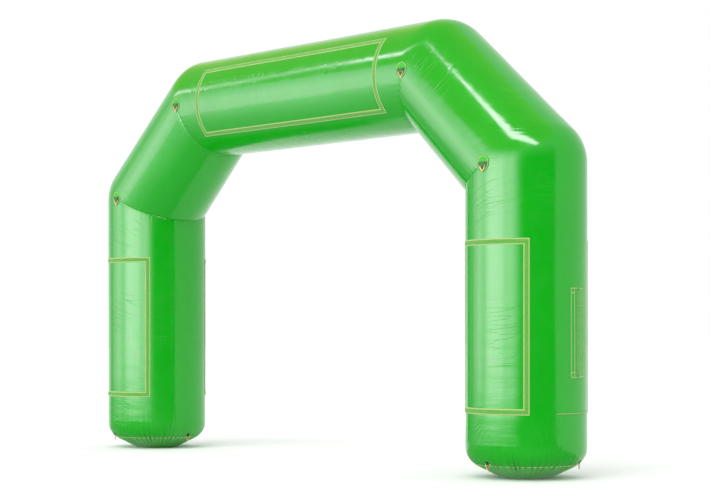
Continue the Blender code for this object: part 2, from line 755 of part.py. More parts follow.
def slot_cutter(name, turn, wide, deep_from, deep_to, low, high):
    """Box that cuts a slot through the right leg's wall."""
    shape = bmesh.new()
    bmesh.ops.create_cube(shape, size=1.0)
    matrix = Matrix.Rotation(turn, 4, "Z") @ Matrix.Diagonal((wide, deep_to - deep_from, high - low, 1.0))
    shape.transform(matrix)
    out = (deep_from + deep_to) / 2
    middle = Vector((LEG_X + out * math.sin(turn), -out * math.cos(turn), (low + high) / 2))
    bmesh.ops.translate(shape, vec=middle, verts=list(shape.verts))
    return add_object(name, mesh_of(name, shape), None, "cutters")


def build_zip(paints, right_leg):
    """Pressure release zip: slit, tapes, facings, seal flap, slider and pull."""
    slit_low = ZIP_CHAIN_LOW + SLIT_END
    slit_high = ZIP_CHAIN_LOW + ZIP_CHAIN_TALL - SLIT_END
    slit = slot_cutter(
        "zip_slit", ZIP_TURN, SLIT_WIDTH, LEG_RADIUS - OVERRUN, LEG_RADIUS + OVERRUN, slit_low, slit_high
    )
    combine(right_leg, slit, "DIFFERENCE")
    zip_half("zip_front_tape", -1, paints["zip_tape"])
    zip_half("zip_rear_tape", 1, paints["zip_tape"])
    over = GAP + ZIP_TAPE_THICKNESS + GAP
    edge = ZIP_TAPE_REACH + over
    section = [(FACING_INSET, over), (edge, over), (edge + FACING_STEP, GAP), (FACING_REACH, GAP)]
    high = ZIP_LOW + ZIP_TALL
    zip_sheet("zip_rear_facing", section, ZIP_LOW, high, FACING_THICKNESS, True, paints["skin"])
    section = [(-off, lift) for off, lift in section]
    zip_sheet("zip_front_facing", section, ZIP_LOW, high, FACING_THICKNESS, True, paints["skin"])
    inside = -SKIN - GAP
    section = [(-SEAL_FLAP_REACH, inside), (SEAL_FLAP_REACH, inside)]
    low = slit_low - SEAL_FLAP_OVERLAP
    high = slit_high + SEAL_FLAP_OVERLAP
    zip_sheet("zip_seal_flap", section, low, high, SKIN, False, paints["skin"])
    build_slider(paints)


def build_sleeve(paints, right_leg):
    """Blower sleeve: a slit in the leg, a lip that hangs over it, and the flat sleeve inside."""
    low = MOUTH_HEIGHT + LIP_OVERLAP
    high = low + MOUTH_OPEN
    deep = LEG_RADIUS * math.cos(MOUTH_WIDE / 2 / LEG_RADIUS) - OVERRUN
    wide = 2 * LEG_RADIUS * math.sin(MOUTH_WIDE / 2 / LEG_RADIUS)
    slit = slot_cutter("mouth_slit", MOUTH_TURN, wide, deep, LEG_RADIUS + OVERRUN, low, high)
    combine(right_leg, slit, "DIFFERENCE")
    section = [(-LIP_REACH, GAP), (LIP_REACH, GAP)]
    zip_sheet(
        "sleeve_mouth_lip",
        section,
        MOUTH_HEIGHT,
        MOUTH_HEIGHT + LIP_TALL,
        LIP_THICKNESS,
        True,
        paints["skin"],
        MOUTH_TURN,
    )
    top = high + LIP_OVERLAP
    rings = []
    for height, inset in ((top - SLEEVE_LENGTH, SLEEVE_LEAN), (top, SKIN + GAP)):
        outer = LEG_RADIUS - inset
        half = MOUTH_WIDE / 2 / LEG_RADIUS
        ring = []
        for step in range(SLEEVE_STEPS + 1):
            ring.append((outer, MOUTH_TURN - half + 2 * half * step / SLEEVE_STEPS))
        for step in range(SLEEVE_STEPS, -1, -1):
            ring.append((outer - SLEEVE_FLAT, MOUTH_TURN - half + 2 * half * step / SLEEVE_STEPS))
        rings.append([Vector((LEG_X + out * math.sin(a), -out * math.cos(a), height)) for out, a in ring])
    sleeve = loft("blower_sleeve", rings, paints["skin"])
    solidify(sleeve, SKIN, False)


def main():
    """Build the arch."""
    start_scene()
    paints = {
        "skin": material("green_tarpaulin", (0.045, 0.50, 0.04), 0.22),
        "base": material("base_tarpaulin", (0.03, 0.30, 0.03), 0.35),
        "tape": material("hook_and_loop_tape", (0.22, 0.48, 0.10), 0.85),
        "webbing": material("green_webbing", (0.20, 0.55, 0.10), 0.8),
        "dark_webbing": material("dark_webbing", (0.02, 0.02, 0.02), 0.8),
        "brass": material("brass_wire", (0.75, 0.42, 0.18), 0.3, 1.0),
        "zip_tape": material("zip_tape", (0.05, 0.33, 0.06), 0.8),
        "zip_metal": material("zip_metal", (0.25, 0.25, 0.24), 0.4, 1.0),
    }
    right_leg = build_skin(paints)
    build_banner_frames(paints)
    loop = loop_mesh()
    dark_loop = loop.copy()
    ring = ring_mesh()
    build_bend_ties(paints, loop, ring)
    build_foot_ties(paints, dark_loop, ring)
    build_zip(paints, right_leg)
    build_sleeve(paints, right_leg)


main()
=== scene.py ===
"""Finished looks of an inflatable advertising arch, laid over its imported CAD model.

The script keeps the CAD nodes where they are and builds over them what a camera sees: taut glossy tarpaulin
with creases, puckers and gathers, stitched hook-and-loop frames, webbing ties with brass rings, the pressure
release zip and the mouth of the blower sleeve. Lengths are in metres, angles in radians unless a name says
degrees. An angle round a tube is counted from the front (-Y) towards the outside of the arch.
"""

import logging
import math
from dataclasses import dataclass, replace
from enum import Enum

import bpy
import numpy as np
from mathutils import Matrix, Vector


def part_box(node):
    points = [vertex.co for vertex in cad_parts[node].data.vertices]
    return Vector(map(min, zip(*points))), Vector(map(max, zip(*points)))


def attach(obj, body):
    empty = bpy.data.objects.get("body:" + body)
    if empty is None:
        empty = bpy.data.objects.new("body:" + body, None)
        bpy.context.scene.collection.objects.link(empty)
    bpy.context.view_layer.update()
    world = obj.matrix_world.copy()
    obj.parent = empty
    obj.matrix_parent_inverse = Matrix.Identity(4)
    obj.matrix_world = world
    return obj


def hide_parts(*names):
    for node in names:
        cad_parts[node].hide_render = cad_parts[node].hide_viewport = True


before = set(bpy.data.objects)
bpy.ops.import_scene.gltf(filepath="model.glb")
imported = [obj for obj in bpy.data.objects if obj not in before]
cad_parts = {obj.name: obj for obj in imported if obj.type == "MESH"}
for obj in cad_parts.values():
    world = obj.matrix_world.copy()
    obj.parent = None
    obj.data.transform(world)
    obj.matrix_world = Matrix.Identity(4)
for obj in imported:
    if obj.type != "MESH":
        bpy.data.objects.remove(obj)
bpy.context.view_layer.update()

LOG = logging.getLogger("arch")
MM = 0.001
ARCH_BODY = "arch"
ZIP_TURN = math.radians(100)
SHARP_BEND = math.radians(40)
MIRROR = np.array((-1.0, 1.0, 1.0))
UP = np.array((0.0, 1.0))
INWARD = np.array((-1.0, 0.0))


class Side(Enum):
    """Half of the arch, by the sign of its X."""

    RIGHT = 1
    LEFT = -1


class Face(Enum):
    """Face of the arch, by the sign of its Y."""

    FRONT = -1
    REAR = 1


class Tube(Enum):
    """Kind of air tube, with the seed of its own wrinkles."""

    LEG = 11
    DIAGONAL = 23
    BEAM = 37


class Bend(Enum):
    """Where two tubes meet."""

    KNEE = "knee"
    SHOULDER = "shoulder"


BEND_TUBES = {Bend.KNEE: (Tube.LEG, Tube.DIAGONAL), Bend.SHOULDER: (Tube.DIAGONAL, Tube.BEAM)}


@dataclass(frozen=True)
class ArchSizes:
    """Driving sizes of the arch, the same as in the CAD model."""

    leg_x: float = 2.660
    shoulder_x: float = 1.650
    knee_height: float = 2.550
    beam_height: float = 3.415
    leg_radius: float = 0.500
    beam_radius: float = 0.475
    bend_rounding: float = 0.360
    foot_height: float = 0.280
    foot_heights: tuple = (0.0, 0.072, 0.18, 0.286, 0.411, 0.536, 0.68, 0.82, 1.0)
    foot_radii: tuple = (0.39, 0.49, 0.61, 0.73, 0.85, 0.92, 0.97, 0.992, 1.0)
    seam_step: int = 4

    @property
    def seam_height(self) -> float:
        """Height of the gathered seam between leg and base."""
        return self.foot_height * self.foot_heights[self.seam_step]

    @property
    def seam_radius(self) -> float:
        """Radius of the gathered seam."""
        return self.leg_radius * self.foot_radii[self.seam_step]

    @property
    def knee(self) -> np.ndarray:
        """Middle of the knee, as X and Z."""
        return np.array((self.leg_x, self.knee_height))

    @property
    def shoulder(self) -> np.ndarray:
        """Middle of the shoulder, as X and Z."""
        return np.array((self.shoulder_x, self.beam_height))

    @property
    def rise(self) -> np.ndarray:
        """Direction of the diagonal from knee to shoulder, as X and Z."""
        return unit(self.shoulder - self.knee)

    @property
    def knee_bend(self) -> float:
        """Angle by which the path turns at the knee."""
        return math.atan2(self.leg_x - self.shoulder_x, self.beam_height - self.knee_height)

    @property
    def shoulder_bend(self) -> float:
        """Angle by which the path turns at the shoulder."""
        return math.pi / 2 - self.knee_bend

    @property
    def taper(self) -> float:
        """Loss of radius for each metre of the diagonal."""
        return (self.leg_radius - self.beam_radius) / float(np.linalg.norm(self.shoulder - self.knee))

    @property
    def section_ways(self) -> dict:
        """Outer direction of each tube's section, as X and Z."""
        rise = self.rise
        return {
            Tube.LEG: np.array((1.0, 0.0)),
            Tube.DIAGONAL: np.array((rise[1], -rise[0])),
            Tube.BEAM: np.array((0.0, 1.0)),
        }


def unit(vectors: np.ndarray) -> np.ndarray:
    """Scale vectors to length one along the last axis."""
    return vectors / np.maximum(np.linalg.norm(vectors, axis=-1, keepdims=True), 1e-12)


def ease(values: np.ndarray) -> np.ndarray:
    """Smooth step: 0 up to zero, 1 from one on, and 3x^2 - 2x^3 between."""
    clipped = np.clip(values, 0.0, 1.0)
    return clipped * clipped * (3.0 - 2.0 * clipped)


def stacked(*parts: np.ndarray) -> np.ndarray:
    """Arrays brought to one shape and set side by side along a new last axis."""
    return np.stack(np.broadcast_arrays(*parts), -1)


def turns(count: int) -> np.ndarray:
    """Angles of places spread evenly round a circle, from 0."""
    return np.arange(count) * 2 * math.pi / count


def lattice(across: np.ndarray, along: np.ndarray) -> np.ndarray:
    """Texture coordinates of a grid from those of its columns and of its rows."""
    return np.stack(np.meshgrid(across, along), -1)


def run_along(points: np.ndarray, closed: bool = False) -> np.ndarray:
    """Length along a line up to each point, and up to the first again where the line is closed."""
    line = np.vstack((points, points[:1])) if closed else points
    return np.concatenate(([0.0], np.cumsum(np.linalg.norm(np.diff(line, axis=0), axis=1))))


def heading(path: np.ndarray, closed: bool = False) -> np.ndarray:
    """Unit directions along a path, from the neighbours of each point."""
    return unit(np.roll(path, -1, axis=0) - np.roll(path, 1, axis=0) if closed else np.gradient(path, axis=0))


def read_off(places: np.ndarray, known: np.ndarray, values: np.ndarray) -> np.ndarray:
    """Rows of three numbers at places between the known ones."""
    return np.stack([np.interp(places, known, values[:, axis]) for axis in range(3)], -1)


def noise(u: np.ndarray, v: np.ndarray, seed: int, period: int = 0) -> np.ndarray:
    """Smooth random field on a lattice of unit cells, between -1 and 1.

    The corners of each cell hold hashed random values, which are blended with the smooth step.

    Args:
        u: First coordinate, in cells.
        v: Second coordinate, in cells.
        seed: Number of the field.
        period: Number of cells after which the field repeats in u, or 0 for never.
    Returns:
        Array of the shape of u and v together.
    """
    u, v = np.broadcast_arrays(u, v)
    column, row = np.floor(u).astype(np.int64), np.floor(v).astype(np.int64)

    def hashed(i: np.ndarray, j: np.ndarray) -> np.ndarray:
        """Random value of a lattice corner."""
        i = np.mod(i, period) if period else i
        mixed = (i * 374761393 + j * 668265263 + seed * 974634777) & 0xFFFFFFFF
        mixed = ((mixed ^ (mixed >> 13)) * 1274126177) & 0xFFFFFFFF
        return ((mixed ^ (mixed >> 16)) & 0xFFFF) / 32767.5 - 1.0

    across, along = ease(u - column), ease(v - row)
    low = hashed(column, row) * (1 - across) + hashed(column + 1, row) * across
    high = hashed(column, row + 1) * (1 - across) + hashed(column + 1, row + 1) * across
    return low * (1 - along) + high * along


def spline(points: np.ndarray, places: np.ndarray) -> np.ndarray:
    """Catmull-Rom curve through points: a cubic between neighbours with half the chord of theirs as tangent.

    Args:
        points: Points in order, as rows.
        places: Places on the curve, in points from the first.
    Returns:
        One row for each place.
    """
    padded = np.vstack((2 * points[0] - points[1], points, 2 * points[-1] - points[-2]))
    start = np.clip(np.floor(places).astype(int), 0, len(points) - 2)
    share = (places - start)[..., None]
    before, low, high, after = (padded[start + step] for step in range(4))
    return 0.5 * (
        2 * low
        + (high - before) * share
        + (2 * before - 5 * low + 4 * high - after) * share**2
        + (3 * low - before - 3 * high + after) * share**3
    )


def grid_faces(
    rows: int, columns: int, round_rows: bool, round_columns: bool
) -> tuple[np.ndarray, np.ndarray]:
    """Quads of a grid of vertices, with the corners' places for texture coordinates.

    Args:
        rows: Number of rows of vertices.
        columns: Number of columns of vertices.
        round_rows: Whether the last row joins the first.
        round_columns: Whether the last column joins the first.
    Returns:
        Vertex numbers of each quad, and the numbers in a grid that is one wider where it is round.
    """
    down_count = rows if round_rows else rows - 1
    across_count = columns if round_columns else columns - 1
    row, column = np.meshgrid(np.arange(down_count), np.arange(across_count), indexing="ij")
    wide = across_count + 1
    corners = ((0, 0), (0, 1), (1, 1), (1, 0))
    quads = [((row + down) % rows) * columns + (column + across) % columns for down, across in corners]
    texture = [(row + down) * wide + column + across for down, across in corners]
    return np.stack(quads, -1).reshape(-1, 4), np.stack(texture, -1).reshape(-1, 4)


def grid_normals(points: np.ndarray, round_columns: bool) -> np.ndarray:
    """Normals of a grid from its central differences.

    Args:
        points: Grid of points.
        round_columns: Whether the last column joins the first.
    Returns:
        Grid of unit normals, for rows that run up where columns run right.
    """
    down = np.gradient(points, axis=0)
    if round_columns:
        across = np.roll(points, -1, axis=1) - np.roll(points, 1, axis=1)
    else:
        across = np.gradient(points, axis=1)
    return unit(np.cross(across, down))


@dataclass
class Surface:
    """Mesh data before it goes to Blender: grids and solids are gathered here and joined."""

    points: np.ndarray
    faces: list
    texture: list
    paints: list
    normals: np.ndarray | None = None

    @classmethod
    def grid(
        cls,
        points: np.ndarray,
        texture: np.ndarray,
        round_rows: bool = False,
        round_columns: bool = False,
        paint: int | np.ndarray = 0,
        flip: bool = False,
        normals: np.ndarray | None = None,
    ) -> "Surface":
        """Surface over a grid of points.

        Args:
            points: Grid of points, rows by columns by three.
            texture: Grid of texture coordinates, one wider where the grid is round.
            round_rows: Whether the last row joins the first.
            round_columns: Whether the last column joins the first.
            paint: Number of the finish, one for all or one for each quad.
            flip: Whether the faces look the other way.
            normals: Grid of shading normals, if they are not left to the faces.
        Returns:
            The surface.
        """
        rows, columns = points.shape[:2]
        quads, places = grid_faces(rows, columns, round_rows, round_columns)
        if flip:
            quads, places = quads[:, ::-1], places[:, ::-1]
        paints = np.broadcast_to(paint, len(quads)).astype(np.int32)
        uv = texture.reshape(-1, 2)[places]
        shading = None if normals is None else normals.reshape(-1, 3)
        return cls(points.reshape(-1, 3), [quads], [uv], [paints], shading)

    def fan(self, ring: np.ndarray, centre: np.ndarray, flip: bool = False) -> "Surface":
        """Close a ring of vertices with a fan round a new middle vertex.

        Args:
            ring: Vertex numbers in order.
            centre: Place of the middle.
            flip: Whether the faces look the other way.
        Returns:
            The surface itself.
        """
        middle = len(self.points)
        self.points = np.vstack((self.points, centre))
        triangles = stacked(ring, np.roll(ring, -1), middle)
        triangles = triangles[:, ::-1] if flip else triangles
        self.faces.append(triangles)
        self.texture.append(self.points[triangles][..., :2])
        self.paints.append(np.full(len(ring), int(self.paints[0][0]), dtype=np.int32))
        return self

    def capped(self, count: int, first: np.ndarray, last: np.ndarray, flip: bool = False) -> "Surface":
        """Close both ends of a tube of rings with fans.

        Args:
            count: Number of vertices in a ring.
            first: Middle of the first ring.
            last: Middle of the last ring.
            flip: Whether the faces look the other way.
        Returns:
            The surface itself.
        """
        ring, shift = np.arange(count), len(self.points) - count
        self.fan(ring, first, flip=not flip)
        return self.fan(ring + shift, last, flip=flip)

    def copies(
        self, places: np.ndarray, across: np.ndarray, out: np.ndarray, along: np.ndarray
    ) -> "Surface":
        """Repeat the surface at many places, each with its own directions.

        Args:
            places: Middle of each copy.
            across: Direction of the surface's X in each copy.
            out: Direction of its Y.
            along: Direction of its Z.
        Returns:
            One surface with all copies.
        """
        ways = enumerate((across, out, along))
        turned = sum(self.points[None, :, axis : axis + 1] * way[:, None] for axis, way in ways)
        count, size = len(places), len(self.points)
        offsets = (np.arange(count) * size)[:, None, None]
        points = (turned + places[:, None]).reshape(-1, 3)
        faces = [(block[None] + offsets).reshape(-1, block.shape[1]) for block in self.faces]
        texture = [np.tile(block, (count, 1, 1)) for block in self.texture]
        paints = [np.tile(block, count) for block in self.paints]
        return Surface(points, faces, texture, paints)

    def moved(self, matrix: Matrix) -> "Surface":
        """The surface carried by a matrix.

        Args:
            matrix: Placement in the arch's frame.
        Returns:
            New surface.
        """
        full = np.array(matrix)
        points = self.points @ full[:3, :3].T + full[:3, 3]
        return Surface(points, list(self.faces), list(self.texture), list(self.paints))

    def joined(self, *others: "Surface") -> "Surface":
        """This surface and others as one.

        Args:
            others: Surfaces to add.
        Returns:
            New surface, with normals left to its faces.
        """
        points, faces = [self.points], list(self.faces)
        texture, paints = list(self.texture), list(self.paints)
        count = len(self.points)
        for other in others:
            points.append(other.points)
            faces += [block + count for block in other.faces]
            texture += other.texture
            paints += other.paints
            count += len(other.points)
        return Surface(np.vstack(points), faces, texture, paints)

    def mesh(self, name: str) -> bpy.types.Mesh:
        """Blender mesh of the surface, with sharp edges at its sharp bends where no normals are given.

        Args:
            name: Name of the mesh.
        Returns:
            The mesh, with its texture coordinates in UVMap.
        """
        mesh = bpy.data.meshes.new(name)
        loops = np.concatenate([block.ravel() for block in self.faces]).astype(np.int32)
        sizes = np.concatenate([np.full(len(block), block.shape[1]) for block in self.faces])
        starts = np.concatenate(([0], np.cumsum(sizes)[:-1])).astype(np.int32)
        mesh.vertices.add(len(self.points))
        mesh.vertices.foreach_set("co", self.points.astype(np.float32).ravel())
        mesh.loops.add(len(loops))
        mesh.loops.foreach_set("vertex_index", loops)
        mesh.polygons.add(len(sizes))
        mesh.polygons.foreach_set("loop_start", starts)
        mesh.polygons.foreach_set("material_index", np.concatenate(self.paints).astype(np.int32))
        mesh.update(calc_edges=True)
        uv = mesh.uv_layers.new(name="UVMap")
        flat = np.concatenate([block.reshape(-1, 2) for block in self.texture]).astype(np.float32)
        uv.data.foreach_set("uv", flat.ravel())
        mesh.shade_smooth()
        if self.normals is not None:
            mesh.normals_split_custom_set_from_vertices(self.normals.tolist())
        else:
            mesh.set_sharp_from_angle(angle=SHARP_BEND)
        return mesh


def together(surfaces: list, paint: int | None = None) -> Surface:
    """Join surfaces to one.

    Args:
        surfaces: Surfaces in order.
        paint: Number of the finish for all faces, or none to keep theirs.
    Returns:
        New surface.
    """
    joined = surfaces[0].joined(*surfaces[1:])
    if paint is not None:
        joined.paints = [np.full_like(block, paint) for block in joined.paints]
    return joined


def sweep(
    path: np.ndarray, across: np.ndarray, out: np.ndarray, section: np.ndarray, closed: bool = False
) -> Surface:
    """Surface of a closed section drawn along a path: path + section x times across + section y times out.

    Args:
        path: Points of the path.
        across: Direction of the section's X at each point.
        out: Direction of the section's Y at each point.
        section: Corners of the section, counted anticlockwise as seen from ahead on the path.
        closed: Whether the path ends where it starts. Otherwise the ends are closed with fans.
    Returns:
        The surface.
    """
    points = path[:, None] + section[None, :, 0:1] * across[:, None] + section[None, :, 1:2] * out[:, None]
    texture = lattice(run_along(section, True), run_along(path, closed))
    surface = Surface.grid(points, texture, round_rows=closed, round_columns=True)
    return surface if closed else surface.capped(len(section), path[0], path[-1])


def ribbon(path: np.ndarray, out: np.ndarray, section: np.ndarray) -> Surface:
    """Sweep a section along a closed path on a cloth.

    Args:
        path: Points of the path.
        out: Directions out of the cloth, at the points or everywhere.
        section: Section, outwards at its second place.
    Returns:
        The surface.
    """
    along = heading(path, closed=True)
    side = unit(np.cross(np.broadcast_to(out, path.shape), along))
    return sweep(path, side, np.cross(along, side), section, closed=True)


def disc_section(radius: float, sides: int) -> np.ndarray:
    """Round section of a wire."""
    turn = turns(sides)
    return radius * stacked(np.cos(turn), np.sin(turn))


def strip_section(wide: float, thick: float, sides: int = 3) -> np.ndarray:
    """Section of a flat strip with rounded edges.

    Args:
        wide: Full width.
        thick: Full thickness.
        sides: Steps on each rounded edge.
    Returns:
        Corners, anticlockwise.
    """
    turn = (np.arange(sides + 1) / sides - 0.5) * math.pi
    edge = stacked(np.cos(turn), np.sin(turn)) * thick / 2
    shift = np.array((wide / 2 - thick / 2, 0.0))
    middle = np.array(((0.0, thick / 2),))
    return np.vstack((edge + shift, middle, -edge - shift, -middle))


class Nodes:
    """Short hand for adding and wiring the nodes of one material."""

    def __init__(self, name: str) -> None:
        """Make a material with its Principled shader.

        Args:
            name: Name of the material.
        """
        self.material = bpy.data.materials.new(name)
        self.material.use_nodes = True
        self.tree = self.material.node_tree
        self.shader = self.tree.nodes["Principled BSDF"]

    def add(self, kind: str, sockets: dict, **settings: object) -> bpy.types.Node:
        """Add a node.

        Args:
            kind: Blender's name for the node.
            sockets: Values or linked sockets by input name or number.
            settings: Properties of the node.
        Returns:
            The node.
        """
        node = self.tree.nodes.new(kind)
        for name, value in settings.items():
            setattr(node, name, value)
        for socket, value in sockets.items():
            self.put(node.inputs[socket], value)
        return node

    def put(self, socket: bpy.types.NodeSocket, value: object) -> None:
        """Link a socket, or set it if the value is no socket.

        Args:
            socket: Input.
            value: Output socket, number, or tuple.
        """
        if isinstance(value, bpy.types.NodeSocket):
            self.tree.links.new(value, socket)
        else:
            socket.default_value = value

    def object_place(self) -> bpy.types.NodeSocket:
        """Place in the arch's frame."""
        return self.add("ShaderNodeTexCoord", {}).outputs["Object"]

    def surface_place(self) -> bpy.types.NodeSocket:
        """Place on the surface, in metres across and along."""
        return self.add("ShaderNodeUVMap", {}, uv_map="UVMap").outputs["UV"]

    def stretched(self, vector: bpy.types.NodeSocket, scale: tuple) -> bpy.types.NodeSocket:
        """Coordinates multiplied by a scale for each axis."""
        return self.add("ShaderNodeMapping", {"Vector": vector, "Scale": scale}).outputs["Vector"]

    def noise(self, vector: object, scale: float, detail: float = 3.0) -> bpy.types.NodeSocket:
        """Fractal noise."""
        sockets = {"Vector": vector, "Scale": scale, "Detail": detail}
        return self.add("ShaderNodeTexNoise", sockets).outputs["Fac"]

    def wave(self, vector: object, axis: str, pitch: float, bend: float = 0.0) -> bpy.types.NodeSocket:
        """Sine bands."""
        sockets = {"Vector": vector, "Scale": math.pi / 10 / pitch, "Distortion": bend, "Detail": 1.0}
        return self.add("ShaderNodeTexWave", sockets, bands_direction=axis).outputs["Fac"]

    def math(self, operation: str, first: object, second: object = 0.0) -> bpy.types.NodeSocket:
        """Arithmetic on values."""
        return self.add("ShaderNodeMath", {0: first, 1: second}, operation=operation).outputs[0]

    def between(
        self, factor: object, low: float, high: float, start: float = 0.0, end: float = 1.0
    ) -> object:
        """Map a value from one range to another."""
        sockets = {"Value": factor, 1: start, 2: end, 3: low, 4: high}
        return self.add("ShaderNodeMapRange", sockets).outputs["Result"]

    def blend(self, factor: object, first: tuple, second: tuple) -> bpy.types.NodeSocket:
        """Mix two colours."""
        sockets = {"Factor": factor, 6: colour(first), 7: colour(second)}
        return self.add("ShaderNodeMix", sockets, data_type="RGBA").outputs[2]

    def bump(self, height: object, depth: float, strength: float = 1.0, under: object = None) -> object:
        """Bend the normals by a height.

        Args:
            height: Height socket, 0 to 1.
            depth: Depth of the relief in metres.
            strength: Share of the effect.
            under: Normal of a coarser relief.
        Returns:
            Normal output.
        """
        sockets = {"Height": height, "Distance": depth, "Strength": strength}
        if under is not None:
            sockets["Normal"] = under
        return self.add("ShaderNodeBump", sockets).outputs["Normal"]

    def finish(self, **sockets: object) -> bpy.types.Material:
        """Set the shader's inputs, words joined by underscores.

        Args:
            sockets: Values or sockets by name.
        Returns:
            The material.
        """
        for name, value in sockets.items():
            self.put(self.shader.inputs[name.replace("_", " ")], value)
        return self.material


def colour(value: object) -> object:
    """Give a colour tuple its fourth number."""
    return (*value, 1.0) if isinstance(value, tuple) and len(value) == 3 else value


@dataclass(frozen=True)
class Tarpaulin:
    """Coated polyester cloth, pulled taut by the air: glossy, with the scrim showing faintly through."""

    name: str
    base: tuple
    faded: tuple
    gloss: float = 0.14
    ripple: float = 0.35 * MM
    crease: float = 0.0
    crease_share: float = 0.028
    shine: float = 0.5
    painted_loop_shadow: tuple = ()
    painted_shadow_top: float = 12.0 * MM
    scrim_pitch: float = 1.1 * MM
    scrim_depth: float = 0.006 * MM
    painted_shade_reach: float = 0.06

    def material(self) -> bpy.types.Material:
        """Node material: mottled colour, painted shade in creases, a painted shadow low on a patch where set,
        uneven gloss, stretched ripples and the weave.
        """
        nodes = Nodes(self.name)
        place, spread = nodes.object_place(), nodes.surface_place()
        mottle = nodes.noise(place, 2.2, 4.0)
        grain = nodes.noise(place, 160.0, 2.0)
        tone = nodes.blend(nodes.between(mottle, 0.0, 0.55, 0.35, 0.75), self.base, self.faded)
        tone = nodes.blend(nodes.between(grain, 0.0, 0.12, 0.45, 0.8), tone, self.faded)
        # Painted shadow: the patch below the given height turns dark green, for the shade that the loop and
        # ring cast on its lower part.
        if self.painted_loop_shadow:
            level = nodes.add("ShaderNodeSeparateXYZ", {0: spread}).outputs["Y"]
            low = nodes.between(level, 1.0, 0.0, self.painted_shadow_top - 1.0 * MM, self.painted_shadow_top)
            tone = nodes.blend(low, tone, self.painted_loop_shadow)
        # Painted shade: an ambient occlusion node darkens creases, gathers and the corners beside sewn parts,
        # down to a third of the base colour.
        reach = {"Distance": self.painted_shade_reach}
        crease_occlusion = nodes.add("ShaderNodeAmbientOcclusion", reach, samples=6, only_local=True)
        folded = nodes.between(crease_occlusion.outputs["AO"], 1.0, 0.0, 0.55, 0.97)
        tone = nodes.blend(folded, tone, tuple(part * 0.3 for part in self.base))
        rough = nodes.between(nodes.noise(place, 9.0, 5.0), self.gloss - 0.04, self.gloss + 0.06, 0.3, 0.75)
        ripples = nodes.noise(nodes.stretched(spread, (3.0, 40.0, 1.0)), 1.0, 2.0)
        weft = nodes.wave(spread, "X", self.scrim_pitch)
        warp = nodes.wave(spread, "Y", self.scrim_pitch)
        weave = nodes.math("MULTIPLY", weft, warp)
        normal = nodes.bump(ripples, self.ripple)
        if self.crease:
            field = nodes.noise(nodes.stretched(spread, (1.7, 15.0, 1.0)), 1.0, 1.0)
            from_middle = nodes.math("ABSOLUTE", nodes.math("SUBTRACT", field, 0.5))
            ridge = nodes.between(from_middle, 0.0, 1.0, 0.0, self.crease_share)
            clear = nodes.between(nodes.noise(place, 1.6, 1.0), 1.0, 0.0, 0.50, 0.64)
            normal = nodes.bump(nodes.math("MAXIMUM", ridge, clear), self.crease, 1.0, normal)
        normal = nodes.bump(weave, self.scrim_depth, 0.35, normal)
        return nodes.finish(
            Base_Color=tone, Roughness=rough, IOR=1.52, Specular_IOR_Level=self.shine, Normal=normal
        )


@dataclass(frozen=True)
class LoopPile:
    """Fuzzy side of hook-and-loop tape: short brushed loops."""

    name: str
    base: tuple
    tips: tuple

    def material(self) -> bpy.types.Material:
        """Node material: clumps of loops, bright tips, no gloss but a soft sheen."""
        nodes = Nodes(self.name)
        place = nodes.object_place()
        clumps = nodes.noise(place, 130.0, 3.0)
        fibres = nodes.noise(place, 900.0, 2.0)
        worn = nodes.noise(place, 5.0, 3.0)
        tone = nodes.blend(nodes.between(clumps, 0.0, 1.0, 0.35, 0.7), self.base, self.tips)
        tone = nodes.blend(nodes.between(worn, 0.0, 0.25, 0.5, 0.8), tone, self.tips)
        normal = nodes.bump(clumps, 1.2 * MM, 0.7)
        normal = nodes.bump(fibres, 0.3 * MM, 0.6, normal)
        look = {"Roughness": 0.95, "Sheen_Weight": 0.1, "Sheen_Roughness": 0.5, "Specular_IOR_Level": 0.2}
        return nodes.finish(Base_Color=tone, Normal=normal, **look)


@dataclass(frozen=True)
class Webbing:
    """Woven strap or selvedge: ribs across, yarns along."""

    name: str
    base: tuple
    light: tuple
    rib: float = 1.6 * MM
    yarn: float = 1.0 * MM
    sheen: float = 0.08

    def material(self) -> bpy.types.Material:
        """Node material: woven ribs in colour and relief."""
        nodes = Nodes(self.name)
        place, spread = nodes.object_place(), nodes.surface_place()
        ribs = nodes.wave(spread, "Y", self.rib, 0.4)
        yarns = nodes.wave(spread, "X", self.yarn, 0.4)
        weave = nodes.math("MULTIPLY", ribs, yarns)
        dust = nodes.noise(place, 60.0, 4.0)
        tone = nodes.blend(nodes.between(weave, 0.1, 0.9), self.base, self.light)
        tone = nodes.blend(nodes.between(dust, 0.0, 0.25, 0.5, 0.85), tone, self.light)
        normal = nodes.bump(weave, 0.3 * MM, 0.8)
        normal = nodes.bump(dust, 0.2 * MM, 0.4, normal)
        return nodes.finish(
            Base_Color=tone, Roughness=0.8, Sheen_Weight=self.sheen, Normal=normal, Specular_IOR_Level=0.3
        )


@dataclass(frozen=True)
class Thread:
    """Twisted sewing thread."""

    name: str
    base: tuple

    def material(self) -> bpy.types.Material:
        """Node material: bands of the twist and a little dust."""
        nodes = Nodes(self.name)
        place, spread = nodes.object_place(), nodes.surface_place()
        twist = nodes.wave(spread, "DIAGONAL", 0.9 * MM)
        dark = tuple(part * 0.6 for part in self.base)
        tone = nodes.blend(nodes.between(twist, 0.0, 0.7), self.base, dark)
        tone = nodes.blend(nodes.between(nodes.noise(place, 40.0), 0.0, 0.5, 0.45, 0.8), tone, dark)
        normal = nodes.bump(twist, 0.15 * MM)
        return nodes.finish(Base_Color=tone, Roughness=0.6, Sheen_Weight=0.2, Normal=normal)


